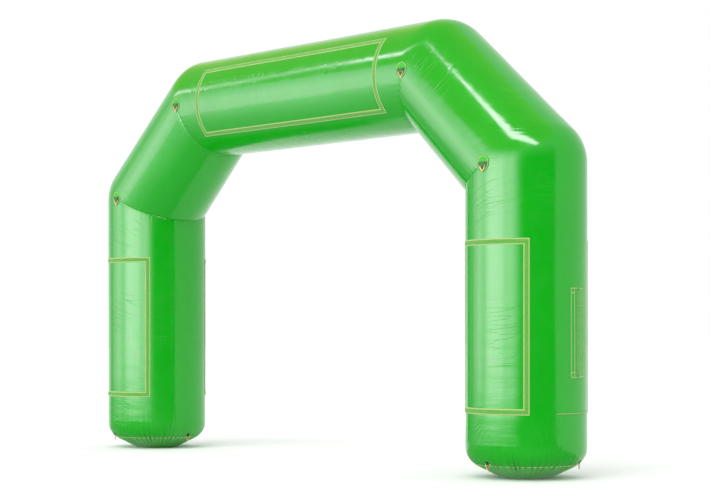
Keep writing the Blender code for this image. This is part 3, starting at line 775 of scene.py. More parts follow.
@dataclass(frozen=True)
class Metal:
    """Drawn wire or die-cast alloy, with tarnish and fine scratches."""

    name: str
    base: tuple
    tarnish: tuple
    gloss: float
    pitted: float = 0.0

    def material(self) -> bpy.types.Material:
        """Node material: tarnish in patches, scratches in the roughness, pits in relief."""
        nodes = Nodes(self.name)
        place = nodes.object_place()
        patches = nodes.noise(place, 70.0, 5.0)
        scratch = nodes.noise(nodes.stretched(place, (300.0, 300.0, 40.0)), 1.0, 2.0)
        tone = nodes.blend(nodes.between(patches, 0.0, 0.8, 0.42, 0.7), self.base, self.tarnish)
        rough = nodes.between(patches, self.gloss, self.gloss + 0.25, 0.35, 0.75)
        rough = nodes.math("ADD", rough, nodes.between(scratch, -0.05, 0.08, 0.3, 0.7))
        normal = nodes.bump(nodes.noise(place, 900.0, 3.0), 0.05 * MM, 0.2 + self.pitted)
        return nodes.finish(Base_Color=tone, Metallic=1.0, Roughness=rough, Normal=normal)


@dataclass(frozen=True)
class Moulded:
    """Moulded plastic, for the zip's teeth."""

    name: str
    base: tuple
    gloss: float = 0.35

    def material(self) -> bpy.types.Material:
        """Node material: even colour with handling marks."""
        nodes = Nodes(self.name)
        place = nodes.object_place()
        marks = nodes.noise(place, 220.0, 3.0)
        dusty = tuple(part * 0.8 + 0.03 for part in self.base)
        tone = nodes.blend(nodes.between(marks, 0.0, 0.6, 0.45, 0.8), self.base, dusty)
        rough = nodes.between(marks, self.gloss, self.gloss + 0.2, 0.4, 0.8)
        normal = nodes.bump(nodes.noise(place, 1400.0), 0.02 * MM, 0.4)
        return nodes.finish(Base_Color=tone, Roughness=rough, Normal=normal)


class Finishes:
    """All materials of the arch, each made once."""

    def __init__(self) -> None:
        """Make the materials."""
        skin = Tarpaulin("green_tarpaulin", (0.003, 0.335, 0.006), (0.007, 0.370, 0.011), crease=0.6 * MM)
        base = Tarpaulin("base_tarpaulin", (0.045, 0.40, 0.035), (0.08, 0.46, 0.07), gloss=0.34)
        patch = Tarpaulin(
            "patch_tarpaulin",
            (0.015, 0.40, 0.006),
            (0.03, 0.46, 0.012),
            gloss=0.4,
            ripple=0.2 * MM,
            shine=0.15,
            # painted shadow: dark green for the shade of the loop and ring on the patch's lower part
            painted_loop_shadow=(0.01, 0.14, 0.01),
        )
        self.skin, self.base, self.patch = skin.material(), base.material(), patch.material()
        self.pile = LoopPile("loop_pile", (0.082, 0.31, 0.038), (0.132, 0.40, 0.066)).material()
        selvedge = Webbing("tape_selvedge", (0.34, 0.47, 0.15), (0.45, 0.56, 0.23), 1.3 * MM, 0.9 * MM)
        binding = Webbing("pale_binding", (0.27, 0.46, 0.12), (0.40, 0.60, 0.20), 1.2 * MM, 0.8 * MM)
        zip_cloth = Webbing("zip_cloth", (0.20, 0.40, 0.10), (0.32, 0.52, 0.17), 1.0 * MM, 0.7 * MM)
        self.selvedge = selvedge.material()
        # The loop webbing is dark green: partly the strap's own colour, partly painted shade for the hollow
        # under the loop and ring.
        self.webbing = Webbing("green_webbing", (0.02, 0.13, 0.02), (0.06, 0.24, 0.04)).material()
        self.dark_webbing = Webbing("dark_webbing", (0.008, 0.008, 0.009), (0.05, 0.05, 0.052)).material()
        self.binding, self.zip_cloth = binding.material(), zip_cloth.material()
        self.pale_thread = Thread("pale_thread", (0.42, 0.62, 0.26)).material()
        self.olive_thread = Thread("olive_thread", (0.34, 0.46, 0.16)).material()
        self.green_thread = Thread("green_thread", (0.05, 0.36, 0.05)).material()
        self.dark_thread = Thread("dark_thread", (0.02, 0.02, 0.02)).material()
        self.brass = Metal("brass_wire", (0.80, 0.52, 0.24), (0.42, 0.25, 0.12), 0.16).material()
        self.zinc = Metal("zinc_alloy", (0.40, 0.40, 0.39), (0.20, 0.20, 0.19), 0.28, 0.2).material()
        self.teeth = Moulded("zip_teeth", (0.24, 0.42, 0.12)).material()


class Maker:
    """Adds finished pieces to the scene."""

    def __init__(self, finishes: Finishes) -> None:
        """Keep the finishes and make the collection.

        Args:
            finishes: Materials of the arch.
        """
        self.finishes = finishes
        self.collection = bpy.data.collections.new("inflatable_arch_looks")
        bpy.context.scene.collection.children.link(self.collection)

    def add(
        self,
        name: str,
        surface: Surface,
        paints: list,
        slot: str,
        body: str = ARCH_BODY,
        stands_for: tuple = (),
    ) -> None:
        """Add a piece that rides on a body.

        Args:
            name: Name of the piece.
            surface: Its shape in the arch's frame.
            paints: Its materials.
            slot: Material slot of the record that it belongs to; not used.
            body: Body that it rides on.
            stands_for: CAD nodes that it takes the place of.
        """
        mesh = surface.mesh(name)
        for paint in paints:
            mesh.materials.append(paint)
        piece = bpy.data.objects.new(name, mesh)
        self.collection.objects.link(piece)
        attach(piece, body)
        if stands_for:
            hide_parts(*stands_for)
        LOG.info("%s: %d points on %s", name, len(mesh.vertices), body)


@dataclass(frozen=True)
class Wrinkle:
    """Local set of fine parallel folds.

    The place along a tube is the height on a leg, the length past the knee on a diagonal and X on the beam.
    """

    tube: Tube
    side: Side
    turn_degrees: float
    place: float
    wide: float
    tall: float
    pitch: float
    depth: float
    lean_degrees: float = 0.0


WRINKLES = (
    Wrinkle(Tube.LEG, Side.RIGHT, 8.0, 2.22, 0.16, 0.10, 0.034, 1.4 * MM, 4.0),
    Wrinkle(Tube.LEG, Side.RIGHT, 55.0, 2.20, 0.14, 0.12, 0.040, 1.0 * MM, -8.0),
    Wrinkle(Tube.LEG, Side.RIGHT, 60.0, 0.40, 0.14, 0.10, 0.050, 0.5 * MM, 60.0),
    Wrinkle(Tube.LEG, Side.RIGHT, -10.0, 0.38, 0.12, 0.08, 0.045, 0.4 * MM, -50.0),
    Wrinkle(Tube.LEG, Side.LEFT, 0.0, 2.18, 0.15, 0.10, 0.034, 1.2 * MM, -4.0),
    Wrinkle(Tube.LEG, Side.LEFT, -10.0, 0.44, 0.14, 0.06, 0.040, 0.3 * MM, -12.0),
    Wrinkle(Tube.LEG, Side.LEFT, 20.0, 1.20, 0.10, 0.30, 0.030, 0.4 * MM, 2.0),
    Wrinkle(Tube.DIAGONAL, Side.RIGHT, 58.0, 0.16, 0.12, 0.07, 0.036, 1.8 * MM, 20.0),
    Wrinkle(Tube.DIAGONAL, Side.RIGHT, 70.0, 0.60, 0.12, 0.34, 0.110, 1.0 * MM, 6.0),
    Wrinkle(Tube.DIAGONAL, Side.LEFT, 30.0, 0.30, 0.14, 0.10, 0.040, 1.2 * MM, -16.0),
    Wrinkle(Tube.BEAM, Side.RIGHT, -20.0, 1.34, 0.14, 0.08, 0.036, 1.2 * MM, 8.0),
    Wrinkle(Tube.BEAM, Side.RIGHT, -15.0, -1.36, 0.14, 0.08, 0.036, 1.2 * MM, -8.0),
)


FOOT_TIES = {Side.RIGHT: (0.0, 120.0, 240.0), Side.LEFT: (-20.0, 100.0, 220.0)}


@dataclass(frozen=True)
class Spots:
    """Places on the skin of the right half before it is creased.

    The runs are the lengths from the middles of the bends, and along is the place that a Wrinkle names.
    """

    tube: Tube
    side: Side
    theta: np.ndarray
    place: np.ndarray
    out: np.ndarray
    knee_run: np.ndarray
    shoulder_run: np.ndarray
    along: np.ndarray

    @property
    def mirrored(self) -> bool:
        """Whether the spots belong to the left half, for which the right one is mirrored."""
        return self.side is Side.LEFT and self.tube is not Tube.BEAM

    @property
    def facing(self) -> np.ndarray:
        """Directions out of the tube in the arch's frame."""
        return self.out * MIRROR if self.mirrored else self.out


@dataclass(frozen=True)
class SkinShape:
    """Shape of the taut skin: round tubes that meet in mitres, with creases, puckers and gathers.

    The depths, pitches and reaches are lengths, and a depth fades to a third over its reach.
    """

    sizes: ArchSizes

    columns = 400
    foot_rows = 38
    bend_rows = 13
    leg_rows = 186
    diagonal_rows = 100
    beam_rows = 216
    crease_reach = 0.060
    far_away = 9.0
    mitre_depth = 3.8 * MM
    mitre_reach = 0.012
    pucker_depth = 0.8 * MM
    pucker_pitch = 0.045
    pucker_reach = 0.05
    swell_depth = 1.6 * MM
    swell_pitch = 0.42
    swells_round = 7
    ripple_depth = 0.30 * MM
    ripple_pitch = 0.05
    calm_reach = 0.12
    gathers = 56
    gather_depth = 29.0 * MM
    gather_reach = 0.056
    gather_spread = 0.030
    tie_clearance = 0.06
    gather_wander = 1.2
    gather_power = 0.55
    gather_level = 0.78
    seam_depth = 4.0 * MM
    seam_reach = 0.010
    section_turn_reach = 0.1
    inside_sine = 0.14
    inside_fade = 0.48
    pucker_shift = 0.35
    pucker_wander = 0.09
    wrinkle_shift = 0.4
    wrinkle_wander = 0.07
    row_power = 1.5

    @property
    def theta(self) -> np.ndarray:
        """Angles of the columns round a tube."""
        return turns(self.columns) - 2 * math.pi / 3

    def corners(self, theta: np.ndarray) -> tuple[np.ndarray, np.ndarray]:
        """Where each line of the skin would meet the knee and the shoulder if its corners were sharp.

        Args:
            theta: Angles round the tube.
        Returns:
            Points at the knee and at the shoulder, as X and Z.
        """
        sizes = self.sizes
        leg_out = sizes.leg_radius * np.sin(theta)
        beam_out = sizes.beam_radius * np.sin(theta)
        knee = sizes.knee + stacked(leg_out, leg_out * math.tan(sizes.knee_bend / 2))
        shoulder = sizes.shoulder + stacked(beam_out * math.tan(sizes.shoulder_bend / 2), beam_out)
        return knee, shoulder

    def near_bend(self, theta: np.ndarray, bend: Bend, run: np.ndarray) -> np.ndarray:
        """Points near a bend: an arc tangent to both straight lines, then straight on.

        Args:
            theta: Angles round the tube.
            bend: Which bend.
            run: Lengths past the middle of the bend, negative before it.
        Returns:
            Points of the right half.
        """
        sizes = self.sizes
        theta, run = np.broadcast_arrays(theta, run)
        knee, shoulder = self.corners(theta)
        rise = unit(shoulder - knee)
        if bend is Bend.KNEE:
            corner, before, after = knee, np.broadcast_to(UP, rise.shape), rise
        else:
            corner, before, after = shoulder, rise, np.broadcast_to(INWARD, rise.shape)
        rounding = self.rounding(theta)
        half_turn = 0.5 * np.arccos(np.clip((before * after).sum(-1), -1.0, 1.0))
        outward = unit(before - after)
        onward = unit(before + after) * np.where(run > 0, 1.0, -1.0)[..., None]
        centre = corner - outward * (rounding / np.cos(half_turn))[..., None]
        on_arc = np.minimum(np.abs(run), rounding * half_turn)
        turned = (on_arc / np.maximum(rounding, 1e-9))[..., None]
        turned = np.where((rounding > 1e-9)[..., None], turned, half_turn[..., None])
        spot = centre + (outward * np.cos(turned) + onward * np.sin(turned)) * rounding[..., None]
        straight = np.where((run > 0)[..., None], after, -before)
        spot = spot + straight * (np.abs(run) - on_arc)[..., None]
        length = np.linalg.norm(shoulder - knee, axis=-1)
        share = np.clip(((spot - knee) * rise).sum(-1) / length, 0.0, 1.0)
        radius = sizes.leg_radius + (sizes.beam_radius - sizes.leg_radius) * share
        return stacked(spot[..., 0], -radius * np.cos(theta), spot[..., 1])

    def outward(self, tube: Tube, knee_run: np.ndarray, shoulder_run: np.ndarray) -> np.ndarray:
        """Outer direction of the section, turned into the mitre plane towards a bend.

        Args:
            tube: Which tube.
            knee_run: Lengths past the knee.
            shoulder_run: Lengths past the shoulder.
        Returns:
            Directions as X and Z.
        """
        ways = self.sizes.section_ways
        others = {
            Tube.LEG: ((Tube.DIAGONAL, knee_run),),
            Tube.DIAGONAL: ((Tube.LEG, knee_run), (Tube.BEAM, shoulder_run)),
            Tube.BEAM: ((Tube.DIAGONAL, shoulder_run),),
        }
        way = np.broadcast_to(ways[tube], (*np.shape(knee_run), 2)).copy()
        for other, run in others[tube]:
            share = 0.5 * (1.0 - ease(np.abs(run) / self.section_turn_reach))[..., None]
            way += share * (ways[other] - ways[tube])
        return unit(way)

    def spots(
        self,
        tube: Tube,
        side: Side,
        theta: np.ndarray,
        place: np.ndarray,
        knee_run: np.ndarray | float,
        shoulder_run: np.ndarray | float,
        along: np.ndarray,
    ) -> Spots:
        """Gather places with their outward directions.

        Args:
            tube: Which tube.
            side: Which half of the arch the relief is for.
            theta: Angles round the tube.
            place: Points of the right half.
            knee_run: Lengths past the knee.
            shoulder_run: Lengths past the shoulder.
            along: Places along the tube.
        Returns:
            The spots, all of one shape.
        """
        numbers = (theta, knee_run, shoulder_run, along)
        theta, knee_run, shoulder_run, along = (np.broadcast_to(part, place.shape[:-1]) for part in numbers)
        way = self.outward(tube, knee_run, shoulder_run)
        out = stacked(way[..., 0] * np.sin(theta), -np.cos(theta), way[..., 1] * np.sin(theta))
        return Spots(tube, side, theta, place, out, knee_run, shoulder_run, along)

    def folds(self, theta: np.ndarray, side: Side) -> tuple[np.ndarray, np.ndarray]:
        """Gathers of the foot seam: rounded pillows with narrow valleys, as the size of a shifted sine.

        Args:
            theta: Angles round the leg.
            side: Which leg.
        Returns:
            Height of the folds at the seam, and how far each reaches from it.
        """
        count, turn, seed = self.gathers, theta / (2 * math.pi), side.value
        wander = self.gather_wander * noise(turn * count / 2, 0.5, 5 + seed, count // 2)
        pillows = np.abs(np.sin(math.pi * count * turn + wander)) ** self.gather_power
        deep = 0.62 + 0.38 * noise(turn * count, 1.5, 7 + seed, count)
        height = self.gather_depth * deep * (pillows - self.gather_level)
        for tie in FOOT_TIES[side]:
            off = np.mod(side.value * theta - math.radians(tie) + math.pi, 2 * math.pi) - math.pi
            height = height * ease(np.abs(off) * self.sizes.leg_radius / self.tie_clearance)
        reach = self.gather_reach + self.gather_spread * noise(turn * count, 2.5, 9 + seed, count)
        return height, reach

    def relief(self, spots: Spots) -> np.ndarray:
        """Height of the creased skin over the round tube.

        Args:
            spots: Places on the skin.
        Returns:
            Heights along the spots' outward directions.
        """
        theta, side = spots.theta, spots.side
        girth = self.sizes.leg_radius * theta
        inner = ease((self.inside_sine - np.sin(theta)) / self.inside_fade)
        runs = (np.abs(spots.knee_run), np.abs(spots.shoulder_run))
        nearest = np.minimum(*runs)
        height = -self.mitre_depth * inner * np.exp(-nearest / self.mitre_reach)
        for number, run in enumerate(runs):
            shift = self.pucker_shift * noise(girth / self.pucker_wander, 0.5, 40 + 2 * number)
            pucker = np.sin(2 * math.pi * (girth / self.pucker_pitch + shift))
            height = height + self.pucker_depth * inner * np.exp(-run / self.pucker_reach) * pucker
        cells, seed = self.swells_round, spots.tube.value + 3 * side.value
        turn = theta / (2 * math.pi) * cells
        local = self.swell_depth * noise(turn, spots.along / self.swell_pitch, seed, cells)
        ripples = noise(turn * 2, spots.along / self.ripple_pitch, seed + 1, cells * 2)
        local = local + self.ripple_depth * ripples
        for wrinkle in WRINKLES:
            if wrinkle.tube is spots.tube and (wrinkle.side is side or spots.tube is Tube.BEAM):
                local = local + self.wrinkle(wrinkle, theta, spots.along)
        height = height + local * ease(nearest / self.calm_reach)
        if spots.tube is Tube.LEG:
            above = np.maximum(spots.along - self.sizes.seam_height, 0.0)
            fold, reach = self.folds(theta, side)
            seam = self.seam_depth * np.exp(-above / self.seam_reach)
            height = height + fold * np.exp(-above / reach) - seam
        return height

    def wrinkle(self, wrinkle: Wrinkle, theta: np.ndarray, along: np.ndarray) -> np.ndarray:
        """Height of one set of folds: a sine under a bell-shaped cover.

        Args:
            wrinkle: The set.
            theta: Angles round the tube.
            along: Places along the tube.
        Returns:
            Heights.
        """
        off = np.mod(theta - math.radians(wrinkle.turn_degrees) + math.pi, 2 * math.pi) - math.pi
        across = off * self.sizes.leg_radius
        ahead = along - wrinkle.place
        cover = np.exp(-((across / wrinkle.wide) ** 2) - (ahead / wrinkle.tall) ** 2)
        lean = math.radians(wrinkle.lean_degrees)
        phase = (ahead * math.cos(lean) + across * math.sin(lean)) / wrinkle.pitch
        cell = self.wrinkle_wander
        bent = self.wrinkle_shift * noise(across / cell, ahead / cell, wrinkle.tube.value + 50)
        return wrinkle.depth * cover * np.sin(2 * math.pi * (phase + bent))

    def lifted(self, spots: Spots, lift: float | np.ndarray = 0.0) -> np.ndarray:
        """Points of the creased skin, or at a height above it.

        Args:
            spots: Places on the skin.
            lift: Heights above the skin.
        Returns:
            Points in the arch's frame.
        """
        height = self.relief(spots) + lift
        points = spots.place + spots.out * height[..., None]
        return points * MIRROR if spots.mirrored else points

    def round_leg(self, radius: np.ndarray, theta: np.ndarray, height: np.ndarray) -> np.ndarray:
        """Points at radii and heights round the right leg."""
        return stacked(self.sizes.leg_x + radius * np.sin(theta), -radius * np.cos(theta), height)

    def on_leg(self, side: Side, theta: np.ndarray, height: np.ndarray) -> Spots:
        """Spots on the straight part of a leg.

        Args:
            side: Which leg.
            theta: Angles round it.
            height: Heights above the ground.
        Returns:
            The spots.
        """
        place = self.round_leg(self.sizes.leg_radius, theta, height)
        run = height - self.corners(theta)[0][..., 1]
        return self.spots(Tube.LEG, side, theta, place, run, self.far_away, height)

    def on_beam(self, theta: np.ndarray, x: np.ndarray) -> Spots:
        """Spots on the straight part of the beam.

        Args:
            theta: Angles round it, from the front upwards.
            x: Places along it.
        Returns:
            The spots.
        """
        radius, middle = self.sizes.beam_radius, self.sizes.beam_height
        place = stacked(x, -radius * np.cos(theta), middle + radius * np.sin(theta))
        run = self.corners(theta)[1][..., 0] - np.abs(x)
        return self.spots(Tube.BEAM, Side.RIGHT, theta, place, self.far_away, run, x)

    def at_bend(
        self, side: Side, face: Face, bend: Bend, x: np.ndarray, z: np.ndarray, lift: np.ndarray
    ) -> np.ndarray:
        """Points over the front or rear of a bend, which lies on two tubes.

        Args:
            side: Which half.
            face: Front or rear.
            bend: Which bend.
            x: Places to the right of the middle of the bend, drawn for the right half.
            z: Places above it.
            lift: Heights above the skin.
        Returns:
            Points in the arch's frame.
        """
        sizes, at_knee = self.sizes, bend is Bend.KNEE
        middle = sizes.knee if at_knee else sizes.shoulder
        start = sizes.leg_radius if at_knee else sizes.beam_radius
        half_turn = (sizes.knee_bend if at_knee else sizes.shoulder_bend) / 2
        through = sizes.rise + (UP if at_knee else INWARD)
        run = (x * through[0] + z * through[1]) / (2 * math.cos(half_turn) ** 2)
        knee_run, shoulder_run = (run, self.far_away) if at_knee else (self.far_away, run)
        points = np.zeros((*x.shape, 3))
        for past, tube in zip((False, True), BEND_TUBES[bend]):
            way = sizes.section_ways[tube]
            radius = start - (sizes.taper * run if tube is Tube.DIAGONAL else 0.0 * run)
            theta = np.arcsin(np.clip((x * way[0] + z * way[1]) / radius, -1.0, 1.0))
            theta = math.pi - theta if face is Face.REAR else theta
            place = stacked(x + middle[0], -radius * np.cos(theta), z + middle[1])
            along = {
                Tube.LEG: place[..., 2],
                Tube.DIAGONAL: run if at_knee else run + self.diagonal_length(theta),
                Tube.BEAM: side.value * place[..., 0],
            }[tube]
            half = Side.RIGHT if tube is Tube.BEAM else side
            spots = self.spots(tube, half, theta, place, knee_run, shoulder_run, along)
            height = self.relief(spots) + lift
            chosen = (run >= 0) == past
            points[chosen] = (place + spots.out * height[..., None])[chosen]
        return points * MIRROR if side is Side.LEFT else points

    def rounding(self, theta: np.ndarray) -> np.ndarray:
        """Radius of the arc round the outside of a bend, none on its inside."""
        return self.sizes.bend_rounding * np.sqrt(np.clip(np.sin(theta), 0.0, None))

    def diagonal_length(self, theta: np.ndarray) -> np.ndarray:
        """Length of the diagonal between its bends."""
        knee, shoulder = self.corners(theta)
        return np.linalg.norm(shoulder - knee, axis=-1)

    def foot_profile(self, places: np.ndarray) -> np.ndarray:
        """Radius and height of the foot along its profile.

        Args:
            places: Places on the profile, in its points from the ground.
        Returns:
            Radii and heights.
        """
        sizes = self.sizes
        radii = np.array(sizes.foot_radii) * sizes.leg_radius
        heights = np.array(sizes.foot_heights) * sizes.foot_height
        return spline(stacked(radii, heights), places)

    def leg_spots(self, side: Side) -> Spots:
        """Grid of the leg from the gathered seam to the mitre of the knee."""
        sizes, theta = self.sizes, self.theta[None]
        reach = self.bend_reach(theta, sizes.knee_bend)
        top = self.near_bend(theta, Bend.KNEE, -reach)[..., 2]
        steps = np.linspace(sizes.seam_step, len(sizes.foot_heights) - 1, self.foot_rows)
        profile = self.foot_profile(steps)
        foot = self.round_leg(profile[:, :1], theta, profile[:, 1:])
        share = np.arange(1, self.leg_rows + 1)[:, None] / (self.leg_rows + 1)
        levels = sizes.foot_height + (top - sizes.foot_height) * share
        wall = self.round_leg(sizes.leg_radius, theta, levels)
        runs = self.bend_runs(reach)
        bend = self.near_bend(theta, Bend.KNEE, -runs[::-1])
        place = np.concatenate((foot, wall, bend))
        knee_run = np.concatenate((foot[..., 2] - top - reach, levels - top - reach, -runs[::-1]))
        return self.spots(Tube.LEG, side, theta, place, knee_run, self.far_away, place[..., 2])

    def bend_reach(self, theta: np.ndarray, bend: float) -> np.ndarray:
        """Length beside a bend that gets the close rows: the arc, or the crease where there is none."""
        return np.maximum(self.rounding(theta) * bend / 2 * 1.02, self.crease_reach)

    def bend_runs(self, reach: np.ndarray) -> np.ndarray:
        """Runs of the rows beside a bend, closer together towards it."""
        share = np.arange(self.bend_rows + 1)[:, None] / self.bend_rows
        return reach * share**self.row_power

    def diagonal_spots(self, side: Side) -> Spots:
        """Grid of the diagonal from the mitre of the knee to that of the shoulder."""
        sizes, theta = self.sizes, self.theta[None]
        low_runs = self.bend_runs(self.bend_reach(theta, sizes.knee_bend))
        high_runs = self.bend_runs(self.bend_reach(theta, sizes.shoulder_bend))[::-1]
        low = self.near_bend(theta, Bend.KNEE, np.where(low_runs > 0, low_runs, 1e-9))
        high = self.near_bend(theta, Bend.SHOULDER, -high_runs)
        share = np.arange(1, self.diagonal_rows + 1)[:, None, None] / (self.diagonal_rows + 1)
        wall = low[-1] + (high[0] - low[-1]) * share
        length = np.linalg.norm(high[0] - low[-1], axis=-1)
        up, down = length * share[..., 0], length * (1 - share[..., 0])
        from_low, from_high = low_runs[-1] + length, high_runs[0] + length
        knee_run = np.concatenate((low_runs, low_runs[-1] + up, from_low + high_runs[:1] - high_runs))
        to_shoulder = np.concatenate((from_high + low_runs[-1:] - low_runs, high_runs[0] + down, high_runs))
        place = np.concatenate((low, wall, high))
        return self.spots(Tube.DIAGONAL, side, theta, place, knee_run, -to_shoulder, knee_run)

    def beam_spots(self) -> Spots:
        """Grid of the beam from the right shoulder's mitre to the left one's."""
        theta = self.theta[None]
        runs = self.bend_runs(self.bend_reach(theta, self.sizes.shoulder_bend))
        right = self.near_bend(theta, Bend.SHOULDER, np.where(runs > 0, runs, 1e-9))
        left = right[::-1] * MIRROR
        share = np.arange(1, self.beam_rows + 1)[:, None, None] / (self.beam_rows + 1)
        wall = right[-1] + (left[0] - right[-1]) * share
        place = np.concatenate((right, wall, left))
        half = np.abs(right[-1, :, 0])
        run = np.concatenate((runs, runs[-1] + half - np.abs(wall[..., 0]), runs[::-1]))
        spots = self.spots(Tube.BEAM, Side.RIGHT, theta, place, self.far_away, run, place[..., 0])
        return replace(spots, out=spots.out * np.where(place[..., :1] < 0, MIRROR, 1.0))


@dataclass(frozen=True)
class Skin:
    """The five air tubes, seamless round the outside of each bend and creased on its inside."""

    shape: SkinShape

    outer_sine = -0.02
    outer_fade = 0.06

    def build(self, maker: Maker) -> None:
        """Add the tubes.

        Args:
            maker: Adds pieces.
        """
        shape = self.shape
        spots = {"beam_tube": shape.beam_spots()}
        for side in Side:
            stem = side.name.lower()
            spots[stem + "_leg_tube"] = shape.leg_spots(side)
            spots[stem + "_diagonal_tube"] = shape.diagonal_spots(side)
        points = {name: shape.lifted(spot) for name, spot in spots.items()}
        normals = {}
        for name, spot in spots.items():
            normals[name] = grid_normals(points[name], True) * (-1.0 if spot.mirrored else 1.0)
        for side in Side:
            stem = side.name.lower()
            leg, diagonal = stem + "_leg_tube", stem + "_diagonal_tube"
            self.share_edge(normals, leg, -1, diagonal, 0)
            self.share_edge(normals, diagonal, -1, "beam_tube", 0 if side is Side.RIGHT else -1)
        for name, spot in spots.items():
            settings = {"round_columns": True, "flip": spot.mirrored, "normals": normals[name]}
            surface = Surface.grid(points[name], self.texture(points[name]), **settings)
            maker.add(name + "_skin", surface, [maker.finishes.skin], "tube", stands_for=(name,))

    def share_edge(self, normals: dict, first: str, first_row: int, second: str, second_row: int) -> None:
        """Give both tubes at a mitre the same normals on the outer half, where the cloth runs round.

        Args:
            normals: Grids of normals by tube.
            first: Name of one tube.
            first_row: Its row at the mitre.
            second: Name of the other.
            second_row: Its row at the mitre.
        """
        shared = unit(normals[first][first_row] + normals[second][second_row])
        outer = ease((np.sin(self.shape.theta)[:, None] - self.outer_sine) / self.outer_fade)
        for name, row in ((first, first_row), (second, second_row)):
            normals[name][row] = unit(normals[name][row] * (1 - outer) + shared * outer)

    def texture(self, points: np.ndarray) -> np.ndarray:
        """Texture coordinates in metres: round the tube by the angle, along it by the rows' mean distance.

        Args:
            points: Grid of the tube.
        Returns:
            Grid one column wider.
        """
        steps = np.linalg.norm(np.diff(points, axis=0), axis=-1).mean(axis=1)
        along = np.concatenate(([0.0], np.cumsum(steps)))
        columns, radius = self.shape.columns, self.shape.sizes.leg_radius
        return lattice(np.arange(columns + 1) / columns * 2 * math.pi * radius, along)


@dataclass(frozen=True)
class Stitch:
    """Kind of sewing: distance from stitch to stitch, share of it that shows thread, and thread radius."""

    pitch: float
    share: float
    radius: float


def round_thread(points: np.ndarray, out: np.ndarray, stitch: Stitch) -> Surface:
    """Row of stitches along a line: a short capsule for each, half sunk in the cloth.

    Args:
        points: Line on the cloth.
        out: Direction out of the cloth at each point.
        stitch: Kind of sewing.
    Returns:
        Surface of all stitches.
    """
    pitch, radius = stitch.pitch, stitch.radius
    length = run_along(points)
    count = max(int(length[-1] / pitch), 1)
    places = (np.arange(count) + 0.5) * length[-1] / count
    shifts = (0.0, pitch / 4, -pitch / 4)
    spot, ahead, behind = (read_off(places + shift, length, points) for shift in shifts)
    along, up = unit(ahead - behind), unit(read_off(places, length, out))
    half, sides = pitch * stitch.share / 2, 5
    stations = np.array((-1.0, -0.8, 0.8, 1.0))
    path = stacked(0.0, 0.35 * radius * (1 - stations**2), stations * half)
    thin = np.array((0.45, 1.0, 1.0, 0.45))
    turn = turns(sides)
    section = radius * stacked(np.cos(turn), np.sin(turn), 0.0)
    grid = path[:, None] + section[None] * thin[:, None, None]
    texture = lattice(np.linspace(0, 6 * radius, sides + 1), stations * half)
    single = Surface.grid(grid, texture, round_columns=True).capped(sides, path[0], path[-1])
    return single.copies(spot, unit(np.cross(up, along)), up, along)


def cloth(points: np.ndarray, texture: np.ndarray, out: np.ndarray, **settings: object) -> Surface:
    """Grid surface whose faces look along the given directions.

    Args:
        points: Grid of points.
        texture: Grid of texture coordinates.
        out: Direction that the faces look to, at the grid's middle or everywhere.
        settings: Further arguments of Surface.grid.
    Returns:
        The surface.
    """
    rows, columns = points.shape[0] // 2, points.shape[1] // 2
    normal = grid_normals(points, False)[rows, columns]
    facing = np.broadcast_to(out, points.shape)[rows, columns]
    return Surface.grid(points, texture, flip=bool(np.dot(normal, facing) < 0), **settings)


